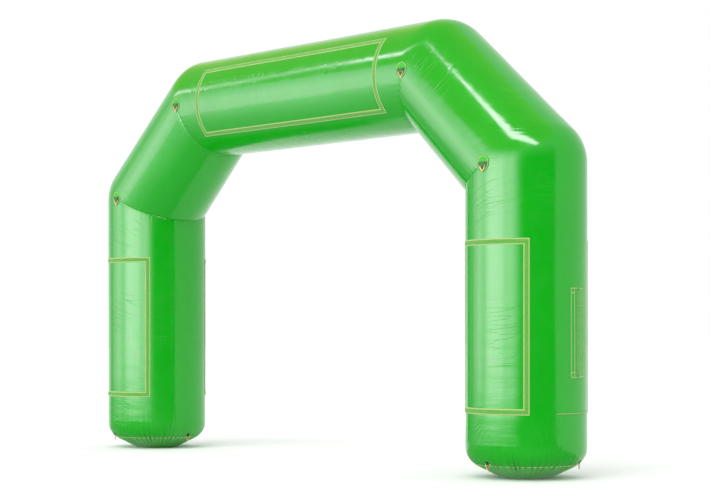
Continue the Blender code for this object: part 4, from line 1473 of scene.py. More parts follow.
@dataclass(frozen=True)
class FootBase:
    """Round bottom of a leg: darker cloth gathered into the seam, with a stitched hem."""

    shape: SkinShape
    side: Side

    rows = 60
    floor_rows = 10
    hem_wide = 7.0 * MM
    hem_thick = 1.4 * MM
    hem_drop = 0.03
    hem_lean = -0.6
    stitch = Stitch(9.0 * MM, 0.82, 1.9 * MM)
    stitch_drop = 0.12
    gather_stretch = 1.6
    gather_sag = 0.35
    swell_depth = 1.5 * MM
    swell_pitch = 0.05
    fade_height = 0.03
    swells_round = 18
    cloth_steps = (7.0 * MM, 5.0 * MM)
    floor_start = 0.02
    stitch_steps = 1200
    hem_steps = 900

    def points(self, places: np.ndarray, theta: np.ndarray, lift: float = 0.0) -> np.ndarray:
        """Points of the base: the foot's profile, moved out and in by the gathers that fade downwards.

        Args:
            places: Places on the profile, in its points from the ground.
            theta: Angles round the leg.
            lift: Height above the cloth.
        Returns:
            Points in the arch's frame.
        """
        shape, sizes = self.shape, self.shape.sizes
        profile = shape.foot_profile(places)
        radius, height = profile[..., 0], profile[..., 1]
        below = np.hypot(sizes.seam_radius - radius, sizes.seam_height - height)
        fold, reach = shape.folds(theta, self.side)
        seam = shape.seam_depth * np.exp(-below / shape.seam_reach)
        relief = fold * np.exp(-below / (reach * self.gather_stretch)) - seam
        cells = self.swells_round
        swells = noise(theta / math.pi * cells / 2, below / self.swell_pitch, 60 + self.side.value, cells)
        relief = (relief + self.swell_depth * swells) * ease(height / self.fade_height)
        points = shape.round_leg(radius + relief + lift, theta, height - self.gather_sag * relief)
        return points * MIRROR if self.side is Side.LEFT else points

    def out_at(self, turn: np.ndarray, lean: float = 0.0) -> np.ndarray:
        """Directions out of the base at angles round the leg, leaning up or down."""
        return stacked(self.side.value * np.sin(turn), -np.cos(turn), lean)

    def build(self, maker: Maker) -> None:
        """Add the base, its line of stitches and its hem.

        Args:
            maker: Adds pieces.
        """
        shape, stem = self.shape, self.side.name.lower()
        seam = shape.sizes.seam_step
        wall = self.points(np.linspace(0.0, seam, self.rows)[:, None], shape.theta[None])
        middle = np.array((self.side.value * shape.sizes.leg_x, 0.0, 0.0))
        share = np.linspace(self.floor_start, 1.0, self.floor_rows, endpoint=False)[:, None, None]
        points = np.concatenate((middle + (wall[0] - middle) * share, wall))
        counts = (shape.columns + 1, len(points))
        texture = lattice(*(np.arange(count) * step for count, step in zip(counts, self.cloth_steps)))
        flip = self.side is Side.LEFT
        surface = Surface.grid(points, texture, round_columns=True, flip=flip)
        surface.fan(np.arange(shape.columns), middle, flip=not flip)
        node = stem + "_foot_base"
        maker.add(node + "_skin", surface, [maker.finishes.base], "foot_base", stands_for=(node,))
        ring = np.linspace(0.0, 2 * math.pi, self.stitch_steps)
        line = self.points(np.full(ring.shape, seam - self.stitch_drop), ring, self.stitch.radius * 0.6)
        thread = round_thread(line, self.out_at(ring), self.stitch)
        maker.add(stem + "_foot_stitches", thread, [maker.finishes.pale_thread], "foot_base")
        ring = turns(self.hem_steps)
        line = self.points(np.full(ring.shape, seam - self.hem_drop), ring, self.hem_thick / 2)
        section = strip_section(self.hem_wide, self.hem_thick, 3)
        hem = ribbon(line, self.out_at(ring, self.hem_lean), section)
        maker.add(stem + "_foot_hem", hem, [maker.finishes.binding], "foot_base")


@dataclass(frozen=True)
class BannerFrame:
    """Rectangle of hook-and-loop tape sewn to a tube: a fuzzy middle between two woven selvedges.

    The name is that of its CAD node. It lies on a leg or, without a side, on the beam. The width
    goes round the tube, and low and high are its ends along the leg or the beam.
    """

    shape: SkinShape
    name: str
    face: Face
    side: Side | None
    wide: float
    low: float
    high: float

    tape_width = 50.0 * MM
    selvedge = 9.0 * MM
    lift = 0.4 * MM
    stitch = Stitch(6.0 * MM, 0.62, 0.55 * MM)
    thread_lines = (3.2 * MM, 46.8 * MM)
    profile = (
        (0.0, 0.0),
        (0.2 * MM, 1.0 * MM),
        (1.2 * MM, 1.4 * MM),
        (7.8 * MM, 1.4 * MM),
        (9.0 * MM, 2.2 * MM),
        (10.5 * MM, 3.0 * MM),
        (17.0 * MM, 3.2 * MM),
        (25.0 * MM, 3.3 * MM),
        (33.0 * MM, 3.2 * MM),
        (39.5 * MM, 3.0 * MM),
        (41.0 * MM, 2.2 * MM),
        (42.2 * MM, 1.4 * MM),
        (48.8 * MM, 1.4 * MM),
        (49.8 * MM, 1.0 * MM),
        (50.0 * MM, 0.0),
    )
    step = 12.0 * MM

    def spots(self, around: np.ndarray, along: np.ndarray) -> Spots:
        """Spots on the tube for places on the frame.

        Args:
            around: Lengths round the tube from its front line.
            along: Places along the tube.
        Returns:
            The spots.
        """
        sizes = self.shape.sizes
        radius = sizes.leg_radius if self.side else sizes.beam_radius
        theta = around / radius
        theta = math.pi - theta if self.face is Face.REAR else theta
        if self.side:
            return self.shape.on_leg(self.side, theta, along)
        return self.shape.on_beam(theta, along)

    def outline(self, inset: np.ndarray) -> tuple[np.ndarray, np.ndarray]:
        """Closed rectangle of the tape at insets from its outer edge, with a station at each step.

        Args:
            inset: Distances from the outer edge.
        Returns:
            Lengths round and places along, stations by insets.
        """
        corners = np.array(((-1, -1), (1, -1), (1, 1), (-1, 1)))
        half = np.array((self.wide / 2, (self.high - self.low) / 2))
        middle = np.array((0.0, (self.low + self.high) / 2))
        rows = []
        for start, end in zip(corners, np.roll(corners, -1, axis=0)):
            length = float(np.abs((end - start) * half).sum())
            count = max(int(length / self.step), 1)
            edge = start + (end - start) * np.arange(count)[:, None, None] / count
            rows.append(middle + edge * (half - inset[None, :, None]))
        grid = np.concatenate(rows)
        return grid[..., 0], grid[..., 1]

    def build(self, maker: Maker) -> None:
        """Add the tape and its threads.

        Args:
            maker: Adds pieces.
        """
        profile = np.array(self.profile)
        around, along = self.outline(profile[:, 0])
        spots = self.spots(around, along)
        points = self.shape.lifted(spots, self.lift + profile[None, :, 1])
        texture = lattice(profile[:, 0], np.arange(len(points) + 1) * self.step)
        across = (profile[:-1, 0] + profile[1:, 0]) / 2
        on_pile = (across > self.selvedge) & (across < self.tape_width - self.selvedge)
        paint = np.broadcast_to(np.where(on_pile, 0, 1), (len(points), len(across))).ravel()
        surface = cloth(points, texture, spots.facing, round_rows=True, paint=paint)
        finishes, name = maker.finishes, self.name
        paints = [finishes.pile, finishes.selvedge]
        maker.add(name + "_weave", surface, paints, "banner_tape", stands_for=(name,))
        threads = together([self.threads(inset) for inset in self.thread_lines])
        maker.add(name + "_threads", threads, [finishes.pale_thread], "banner_tape")

    def threads(self, inset: float) -> Surface:
        """Row of stitches round the frame.

        Args:
            inset: Distance from the outer edge.
        Returns:
            Surface of the stitches.
        """
        around, along = self.outline(np.array((inset,)))
        around, along = (np.append(values[:, 0], values[0, 0]) for values in (around, along))
        spots = self.spots(around, along)
        height = self.lift + float(np.interp(inset, *np.array(self.profile).T))
        points = self.shape.lifted(spots, height)
        return round_thread(points, spots.facing, self.stitch)


def build_banners(maker: Maker, shape: SkinShape) -> None:
    """Add the six banner frames.

    Args:
        maker: Adds pieces.
        shape: Shape of the skin.
    """
    low, tall, wide = 0.532, 1.416, 0.824
    beam_long, beam_tall = 2.648, 0.714
    for face in Face:
        word = face.name.lower()
        for side in Side:
            name = f"{word}_{side.name.lower()}_banner_tape"
            BannerFrame(shape, name, face, side, wide, low, low + tall).build(maker)
        name = f"{word}_beam_banner_tape"
        BannerFrame(shape, name, face, None, beam_tall, -beam_long / 2, beam_long / 2).build(maker)


@dataclass(frozen=True)
class Tie:
    """Place of one webbing loop with its ring."""

    stem: str
    turn: float
    lean: float
    slot: str

    def matrix(self, leaning: bool) -> Matrix:
        """Placement of the loop or the ring: the bar's middle at the origin, the wall towards +Y.

        Args:
            leaning: Whether the piece leans with the wall, as the loop does.
        Returns:
            Matrix to the arch's frame.
        """
        low, high = (Vector(corner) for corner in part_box(self.stem + "_ring"))
        middle = (low + high) / 2
        place = Vector((middle.x, middle.y, middle.z + TieRing.hang))
        turned = Matrix.Rotation(self.turn, 4, "Z") @ Matrix.Rotation(self.lean if leaning else 0.0, 4, "X")
        return Matrix.Translation(place) @ turned


class TieRing:
    """Triangle of brass wire with round corners, hung by its bar."""

    wire_radius = 2.5 * MM
    wide = 58.0 * MM
    drop = 54.0 * MM
    hang = 24.0 * MM
    corner = 5.5 * MM
    corner_steps = 9
    side_steps = 6
    sides = 14

    def build(self, maker: Maker, tie: Tie) -> None:
        """Add the ring.

        Args:
            maker: Adds pieces.
            tie: Its place.
        """
        corners = np.array(((self.wide / 2, 0.0), (-self.wide / 2, 0.0), (0.0, -self.drop)))
        trios = zip(np.roll(corners, 1, axis=0), corners, np.roll(corners, -1, axis=0))
        arcs = [self.rounded(*trio) for trio in trios]
        share = np.arange(1, self.side_steps)[:, None] / self.side_steps
        parts = []
        for arc, following in zip(arcs, arcs[1:] + arcs[:1]):
            parts += [arc, arc[-1] + (following[0] - arc[-1]) * share]
        flat = np.vstack(parts)
        points = stacked(flat[:, 0], 0.0, flat[:, 1])
        side = np.broadcast_to((0.0, 1.0, 0.0), points.shape)
        across = np.cross(side, heading(points, closed=True))
        wire = sweep(points, across, side, disc_section(self.wire_radius, self.sides), closed=True)
        name = tie.stem + "_ring"
        placed = wire.moved(tie.matrix(False))
        maker.add(name + "_wire", placed, [maker.finishes.brass], "ring", body=name, stands_for=(name,))

    def rounded(self, before: np.ndarray, corner: np.ndarray, after: np.ndarray) -> np.ndarray:
        """Arc that is tangent to both sides of a corner.

        Args:
            before: Corner before.
            corner: The corner.
            after: Corner after.
        Returns:
            Points of the arc.
        """
        incoming, outgoing = unit(corner - before), unit(after - corner)
        half = 0.5 * math.acos(float(np.clip(incoming @ outgoing, -1, 1)))
        outward = unit(incoming - outgoing)
        centre = corner - outward * self.corner / math.cos(half)
        turn = np.linspace(-half, half, self.corner_steps)[:, None]
        onward = unit(incoming + outgoing)
        return centre + self.corner * (outward * np.cos(turn) + onward * np.sin(turn))


class TieLoop:
    """Strip of webbing folded round a ring's bar and sewn to the wall with a box stitch."""

    thick = 1.5 * MM
    wide = 30.0 * MM
    middle_radius = 3.75 * MM
    tail = 30.0 * MM
    front_tail = 26.0 * MM
    sweep_degrees = 300.0
    arc_steps = 22
    box_wide = 22.0 * MM
    box_low = 8.5 * MM
    box_high = 23.5 * MM
    box_lift = 0.1 * MM
    wall_end = 0.3
    front_inset = 1.2
    wall_steps = 9
    front_steps = 8
    stitch = Stitch(2.8 * MM, 0.75, 0.45 * MM)

    def build(
        self, maker: Maker, tie: Tie, cloth_paint: bpy.types.Material, thread: bpy.types.Material
    ) -> None:
        """Add the loop and its stitches.

        Args:
            maker: Adds pieces.
            tie: Its place.
            cloth_paint: Finish of the webbing.
            thread: Finish of the stitches.
        """
        path = self.path()
        side = np.broadcast_to((1.0, 0.0, 0.0), path.shape)
        strip = sweep(path, side, np.cross(heading(path), side), strip_section(self.wide, self.thick, 4))
        name = tie.stem + "_loop"
        placed = strip.joined(self.stitches(path)).moved(tie.matrix(True))
        maker.add(name + "_webbing", placed, [cloth_paint, thread], tie.slot, stands_for=(name,))

    def path(self) -> np.ndarray:
        """Middle line of the strip: down the wall, round under the bar, and up again in front of itself."""
        radius = self.middle_radius
        wall = stacked(radius, np.linspace(self.tail, self.wall_end * radius, self.wall_steps))
        turn = -np.radians(np.linspace(0.0, self.sweep_degrees, self.arc_steps))
        arc = radius * stacked(np.cos(turn), np.sin(turn))
        up = np.linspace(radius + self.thick, self.front_tail, self.front_steps)
        front = stacked(radius - self.thick * self.front_inset, up)
        flat = np.vstack((wall, arc, front))
        return stacked(0.0, flat[:, 0], flat[:, 1])

    def stitches(self, path: np.ndarray) -> Surface:
        """Box stitch with its cross, on the front of the folded strip.

        Args:
            path: Middle line of the strip.
        Returns:
            Surface of the stitches, with the second finish.
        """
        y = float(path[-1, 1]) - self.thick / 2 - self.box_lift
        half, low, high = self.box_wide / 2, self.box_low, self.box_high
        corners = np.array(((-half, y, low), (half, y, low), (half, y, high), (-half, y, high)))
        rows = []
        for start, end in ((0, 1), (1, 2), (2, 3), (3, 0), (0, 2), (1, 3)):
            line = corners[start] + (corners[end] - corners[start]) * np.linspace(0, 1, 8)[:, None]
            out = np.broadcast_to((0.0, -1.0, 0.0), line.shape)
            rows.append(round_thread(line, out, self.stitch))
        return together(rows, 1)


@dataclass(frozen=True)
class TiePatch:
    """Round patch welded and sewn over the mitre of a bend, under its loop."""

    shape: SkinShape
    side: Side
    face: Face
    bend: Bend

    radius = 67.0 * MM
    rise = 10.0 * MM
    thick = 1.5 * MM
    rings = 26
    columns = 120
    lift = 0.3 * MM
    thread_ring = 52.0 * MM
    thread_sink = 0.5 * MM
    thread_groove = 2.0 * MM
    stitch = Stitch(5.0 * MM, 0.8, 0.7 * MM)
    stitch_lift = 0.1 * MM
    cross_line = 0.012
    cross_share = 0.95
    cross_steps = 40
    ring_steps = 160
    band_steps = 180
    inner_share = 0.03
    hem = 3.0 * MM
    band_radius = 57.0 * MM
    band_wide = 7.0 * MM
    band_thick = 1.2 * MM

    @property
    def stem(self) -> str:
        """First words of the names at this bend."""
        return f"{self.face.name.lower()}_{self.side.name.lower()}_{self.bend.value}"

    def points(self, across: np.ndarray, up: np.ndarray, lift: np.ndarray) -> np.ndarray:
        """Points over the bend."""
        across, up, lift = np.broadcast_arrays(across, up, lift)
        return self.shape.at_bend(self.side, self.face, self.bend, across, up + self.rise, lift)

    def build(self, maker: Maker) -> None:
        """Add the patch with its stitches.

        Args:
            maker: Adds pieces.
        """
        radius = self.radius * np.linspace(self.inner_share, 1.0, self.rings)[:, None]
        turn = np.arange(self.columns + 1)[None] * 2 * math.pi / self.columns
        flat = stacked(radius * np.cos(turn), radius * np.sin(turn))
        edge = np.clip((self.radius - radius) / self.hem, 0.0, 1.0)
        lift = self.lift + self.thick * np.sqrt(1.0 - (1.0 - edge) ** 2)
        dent = self.thread_sink * np.exp(-(((radius - self.thread_ring) / self.thread_groove) ** 2))
        points = self.points(flat[:, :-1, 0], flat[:, :-1, 1], lift - dent)
        facing = np.array((0.0, float(self.face.value), 0.0))
        normal = grid_normals(points, True)[self.rings // 2, 0]
        flip = bool(normal @ facing < 0)
        surface = Surface.grid(points, flat, round_columns=True, flip=flip)
        middle = self.points(np.zeros(1), 0.0, lift[0, 0])[0]
        surface.fan(np.arange(self.columns), middle, flip=not flip)
        ring = np.linspace(0.0, 2 * math.pi, self.ring_steps)
        level = np.linspace(-self.cross_share, self.cross_share, self.cross_steps)
        lines = (
            (self.thread_ring * np.cos(ring), self.thread_ring * np.sin(ring)),
            (level * self.thread_ring, self.cross_line),
        )
        rows = []
        for across, up in lines:
            line = self.points(across, up, self.stitch_lift + self.thick)
            out = np.broadcast_to(facing, line.shape)
            rows.append(round_thread(line, out, self.stitch))
        both = surface.joined(together(rows, 1), together([self.band(facing)], 2))
        name, finishes = self.stem + "_patch", maker.finishes
        paints = [finishes.patch, finishes.pale_thread, finishes.binding]
        maker.add(name + "_cloth", both, paints, "patch", stands_for=(name,))

    def band(self, facing: np.ndarray) -> Surface:
        """Pale ring of binding sewn round the patch.

        Args:
            facing: Direction out of the arch.
        Returns:
            The surface.
        """
        turn = turns(self.band_steps)
        lift = self.lift + self.thick + self.band_thick / 2
        path = self.points(self.band_radius * np.cos(turn), self.band_radius * np.sin(turn), lift)
        return ribbon(path, facing, strip_section(self.band_wide, self.band_thick, 3))


def build_ties(maker: Maker, shape: SkinShape) -> None:
    """Add patches, loops and rings at the bends and at the feet.

    Args:
        maker: Adds pieces.
        shape: Shape of the skin.
    """
    finishes = maker.finishes
    loop, ring = TieLoop(), TieRing()
    for face in Face:
        for side in Side:
            for bend in Bend:
                patch = TiePatch(shape, side, face, bend)
                patch.build(maker)
                tie = Tie(patch.stem, 0.0 if face is Face.FRONT else math.pi, 0.0, "loop")
                loop.build(maker, tie, finishes.webbing, finishes.green_thread)
                ring.build(maker, tie)
    sizes = shape.sizes
    lean = math.atan2(
        (sizes.foot_radii[5] - sizes.foot_radii[4]) * sizes.leg_radius,
        (sizes.foot_heights[5] - sizes.foot_heights[4]) * sizes.foot_height,
    )
    for side, turns in FOOT_TIES.items():
        for turn, word in zip(turns, ("front", "second", "third")):
            tie = Tie(f"{side.name.lower()}_foot_{word}", math.radians(turn), lean, "foot_loop")
            loop.build(maker, tie, finishes.dark_webbing, finishes.dark_thread)
            ring.build(maker, tie)


@dataclass(frozen=True)
class ZipPlace:
    """Place and sizes of the pressure release zip on the right leg, the same as in the CAD model."""

    turn: float = ZIP_TURN
    low: float = 0.828
    tall: float = 0.727
    end_margin: float = 22.0 * MM
    facing_reach: float = 105.0 * MM
    facing_inset: float = 11.0 * MM
    cloth_reach: float = 20.0 * MM
    teeth_tall: float = 3.0 * MM
    gap: float = 0.3 * MM
    crown_height: float = 9.0 * MM
    slider_long: float = 24.0 * MM

    @property
    def chain_low(self) -> float:
        """Lower end of the teeth."""
        return self.low + self.end_margin

    @property
    def chain_high(self) -> float:
        """Upper end of the teeth."""
        return self.low + self.tall - self.end_margin

    @property
    def slider_height(self) -> float:
        """Height of the slider's middle at rest."""
        return self.chain_low + self.slider_long / 2

    def matrix(self, sizes: ArchSizes, out: float, height: float) -> Matrix:
        """Placement of a small piece: X across the zip, -Y out of the leg, Z up.

        Args:
            sizes: Sizes of the arch.
            out: Distance out of the wall.
            height: Height above the ground.
        Returns:
            Matrix to the arch's frame.
        """
        place = Matrix.Translation((sizes.leg_x, 0.0, height))
        shift = Matrix.Translation((0.0, -sizes.leg_radius - out, 0.0))
        return place @ Matrix.Rotation(self.turn, 4, "Z") @ shift


@dataclass(frozen=True)
class LegWall:
    """Wall of the right leg beside a line up it, at an angle round the leg."""

    shape: SkinShape
    turn: float

    def on_wall(self, off: np.ndarray, height: np.ndarray, lift: np.ndarray) -> np.ndarray:
        """Points over the leg beside the line."""
        theta = self.turn + off / self.shape.sizes.leg_radius
        return self.shape.lifted(self.shape.on_leg(Side.RIGHT, theta, height), lift)

    def out_at(self, off: np.ndarray | float) -> np.ndarray:
        """Directions out of the leg at distances round it from the line."""
        theta = self.turn + off / self.shape.sizes.leg_radius
        return stacked(np.sin(theta), -np.cos(theta), 0.0)


@dataclass(frozen=True)
class ReleaseZip(LegWall):
    """Pressure release zip: woven tapes, moulded teeth, sewn facings, slider and pull."""

    place: ZipPlace

    tooth_pitch = 3.2 * MM
    tooth_share = 0.62
    cloth_thick = 1.0 * MM
    facing_thick = 1.0 * MM
    facing_step = 4.0 * MM
    binding_wide = 8.0 * MM
    binding_thick = 0.8 * MM
    binding_lines = (-88.0 * MM, -45.0 * MM, 48.0 * MM, 90.0 * MM)
    binding_end = 5.0 * MM
    box_tall = 38.0 * MM
    stitch = Stitch(4.0 * MM, 0.7, 0.45 * MM)
    rows = 180
    flap_reach = 70.0 * MM
    flap_rows = 30
    flap_over = 0.01
    flap_inside = -1.2 * MM
    flap_bow = 0.4 * MM
    tape_edge = (1.2 * MM, 1.4 * MM, 4.0 * MM)
    tooth_stations = (-0.7 * MM, -0.1 * MM, 0.9 * MM, 1.9 * MM, 2.6 * MM, 4.2 * MM)
    tooth_waist = (0.72, 1.0, 1.0, 0.6, 0.9, 0.9)
    tooth_corners = (22.5, 67.5, 112.5, 157.5, 202.5, 247.5, 292.5, 337.5)
    binding_sink = 0.1 * MM
    binding_crown = 0.1 * MM
    binding_margin = 1 * MM
    cross_extra = 0.4 * MM
    cross_steps = 24
    stitch_inset = 0.6
    stitch_margin = 3 * MM
    stitch_steps = 60
    cross_shares = (0.12, 0.88)

    def strip(self, profile: np.ndarray, low: float, high: float, rows: int) -> Surface:
        """Strip of cloth along the zip.

        Args:
            profile: Distances from the middle line and heights above the skin.
            low: Lower end.
            high: Upper end.
            rows: Number of rows.
        Returns:
            The surface.
        """
        heights = np.linspace(low, high, rows)
        points = self.on_wall(profile[None, :, 0], heights[:, None], profile[None, :, 1])
        return cloth(points, lattice(profile[:, 0], heights), self.out_at(0.0))

    def build(self, maker: Maker) -> None:
        """Add all pieces of the zip.

        Args:
            maker: Adds pieces.
        """
        finishes, place = maker.finishes, self.place
        paints = [finishes.zip_cloth, finishes.teeth]
        for sign, word in ((-1, "front"), (1, "rear")):
            node = f"zip_{word}_tape"
            half = self.tape(sign).joined(self.teeth(sign))
            maker.add(node + "_weave", half, paints, "zip_tape", stands_for=(node,))
            self.build_facing(maker, sign, word)
        reach, inside = self.flap_reach, self.flap_inside
        flap = np.array(((-reach, inside), (0.0, inside - self.flap_bow), (reach, inside)))
        low, high = place.chain_low - self.flap_over, place.chain_high + self.flap_over
        surface = self.strip(flap, low, high, self.flap_rows)
        maker.add("zip_seal_flap_cloth", surface, [finishes.skin], "facing", stands_for=("zip_seal_flap",))
        ZipSlider(self.shape.sizes, place).build(maker)

    def tape(self, sign: int) -> Surface:
        """Woven tape that carries one row of teeth.

        Args:
            sign: 1 towards the rear, -1 towards the front.
        Returns:
            The surface.
        """
        place, low, high = self.place, self.place.gap, self.place.gap + self.cloth_thick
        reach, (edge, bevel, flat) = place.cloth_reach, self.tape_edge
        profile = np.array(((edge, low), (bevel, high), (flat, high), (reach, high), (reach, low)))
        return self.strip(profile * (sign, 1.0), place.chain_low, place.chain_high, self.rows)

    def teeth(self, sign: int) -> Surface:
        """Row of moulded teeth, each a block with a waist, half a pitch off the other row.

        Args:
            sign: 1 towards the rear, -1 towards the front.
        Returns:
            Surface of the row, with the second finish.
        """
        place = self.place
        half_long, half_tall = self.tooth_pitch * self.tooth_share / 2, place.teeth_tall / 2
        turn = np.radians(self.tooth_corners)
        long, tall = np.cos(turn) * half_long, np.sin(turn) * half_tall
        section = stacked(long, tall) / math.cos(turn[0])
        stations, waist = np.array(self.tooth_stations), np.array(self.tooth_waist)[:, None]
        tooth = stacked(stations[:, None] * sign, section[:, 1] * (0.6 + 0.4 * waist), section[:, 0] * waist)
        texture = lattice(np.arange(9) * 1.0 * MM, stations)
        block = Surface.grid(tooth, texture, round_columns=True, paint=1, flip=sign < 0)
        block.capped(8, tooth[0].mean(axis=0), tooth[-1].mean(axis=0), flip=sign < 0)
        pitch = self.tooth_pitch
        shift = pitch * (0.25 if sign > 0 else 0.75)
        heights = np.arange(place.chain_low + shift, place.chain_high - pitch / 4, pitch)
        places = self.on_wall(np.zeros(heights.shape), heights, place.gap + half_tall)
        out = np.broadcast_to(self.out_at(0.0), places.shape)
        up = np.broadcast_to((0.0, 0.0, 1.0), places.shape)
        return block.copies(places, np.cross(up, out), out, up)

    def build_facing(self, maker: Maker, sign: int, word: str) -> None:
        """Add a facing with its bindings, their threads, and the stitched boxes of the front one.

        Args:
            maker: Adds pieces.
            sign: 1 towards the rear, -1 towards the front.
            word: Word of the node's name.
        """
        place, finishes = self.place, maker.finishes
        gap, thick = place.gap, self.facing_thick
        over = gap + self.cloth_thick + gap
        inner, edge, reach = place.facing_inset, place.cloth_reach + over, place.facing_reach
        flat = np.linspace(edge + self.facing_step, reach - 0.6 * MM, 14)
        profile = np.vstack(
            (
                ((inner, over), (inner - 0.2 * MM, over + thick / 2), (inner + 0.4 * MM, over + thick)),
                ((edge - 2 * MM, over + thick), (edge + self.facing_step / 2, (over + gap) / 2 + thick)),
                stacked(flat, gap + thick),
                ((reach, gap + thick / 2), (reach, gap - 0.2 * MM)),
            )
        )
        low, high = place.low, place.low + place.tall
        surface = self.strip(profile * (sign, 1.0), low, high, self.rows)
        node = f"zip_{word}_facing"
        maker.add(node + "_cloth", surface, [finishes.skin], "facing", stands_for=(node,))
        strips, threads = [], []
        half = self.binding_wide / 2
        lines = [line for line in self.binding_lines if line * sign > 0]
        for line in lines:
            base = float(np.interp(abs(line), profile[:, 0], profile[:, 1])) - self.binding_sink
            raised = base + self.binding_thick
            middle = raised + self.binding_crown
            left = ((-half, base), (-half, raised), (-half / 3, middle))
            band = np.array((*left, (half / 3, middle), (half, raised), (half, base)))
            margin = self.binding_margin
            strips.append(self.strip(band + (line, 0.0), low + margin, high - margin, self.rows))
            heights = (low + self.stitch_margin, high - self.stitch_margin)
            for off in (line - half * self.stitch_inset, line + half * self.stitch_inset):
                threads.append(self.stitch_line((off, off), heights, raised))
        outer, second = sorted(lines, key=abs, reverse=True)
        ends = (low + self.binding_end, high - self.binding_end)
        for height, onward in zip(ends, (self.box_tall, -self.box_tall)):
            offs = (sign * (inner + self.binding_margin), outer + sign * half)
            strips.append(self.cross_binding(profile, offs, height))
            if sign < 0:
                strips.append(self.cross_binding(profile, (second + half, outer - half), height + onward))
                heights = tuple(height + onward * share for share in self.cross_shares)
                for offs in ((outer + half, second - half), (second - half, outer + half)):
                    threads.append(self.stitch_line(offs, heights, gap + thick))
        both = together(strips).joined(together(threads, 1))
        maker.add(node + "_bindings", both, [finishes.binding, finishes.olive_thread], "facing")

    def cross_binding(self, profile: np.ndarray, offs: tuple, height: float) -> Surface:
        """Strip of binding across a facing, over the ends of the long ones.

        Args:
            profile: Distances from the middle line and heights of the facing.
            offs: Distances of both ends.
            height: Height above the ground.
        Returns:
            The surface.
        """
        places = np.linspace(*offs, self.cross_steps)
        lift = np.interp(np.abs(places), profile[2:-2, 0], profile[2:-2, 1]) + self.binding_thick / 2
        path, out = self.on_wall(places, height, lift), self.out_at(places)
        section = strip_section(self.binding_wide, self.binding_thick + self.cross_extra)
        return sweep(path, np.cross(out, heading(path)), out, section)

    def stitch_line(self, offs: tuple, heights: tuple, lift: float) -> Surface:
        """Straight row of stitches on the wall.

        Args:
            offs: Distances from the middle line at both ends.
            heights: Heights at both ends.
            lift: Height above the skin.
        Returns:
            Surface of the stitches.
        """
        share = np.linspace(0.0, 1.0, self.stitch_steps)
        off = offs[0] + (offs[1] - offs[0]) * share
        line = self.on_wall(off, heights[0] + (heights[1] - heights[0]) * share, lift)
        return round_thread(line, self.out_at(off), self.stitch)


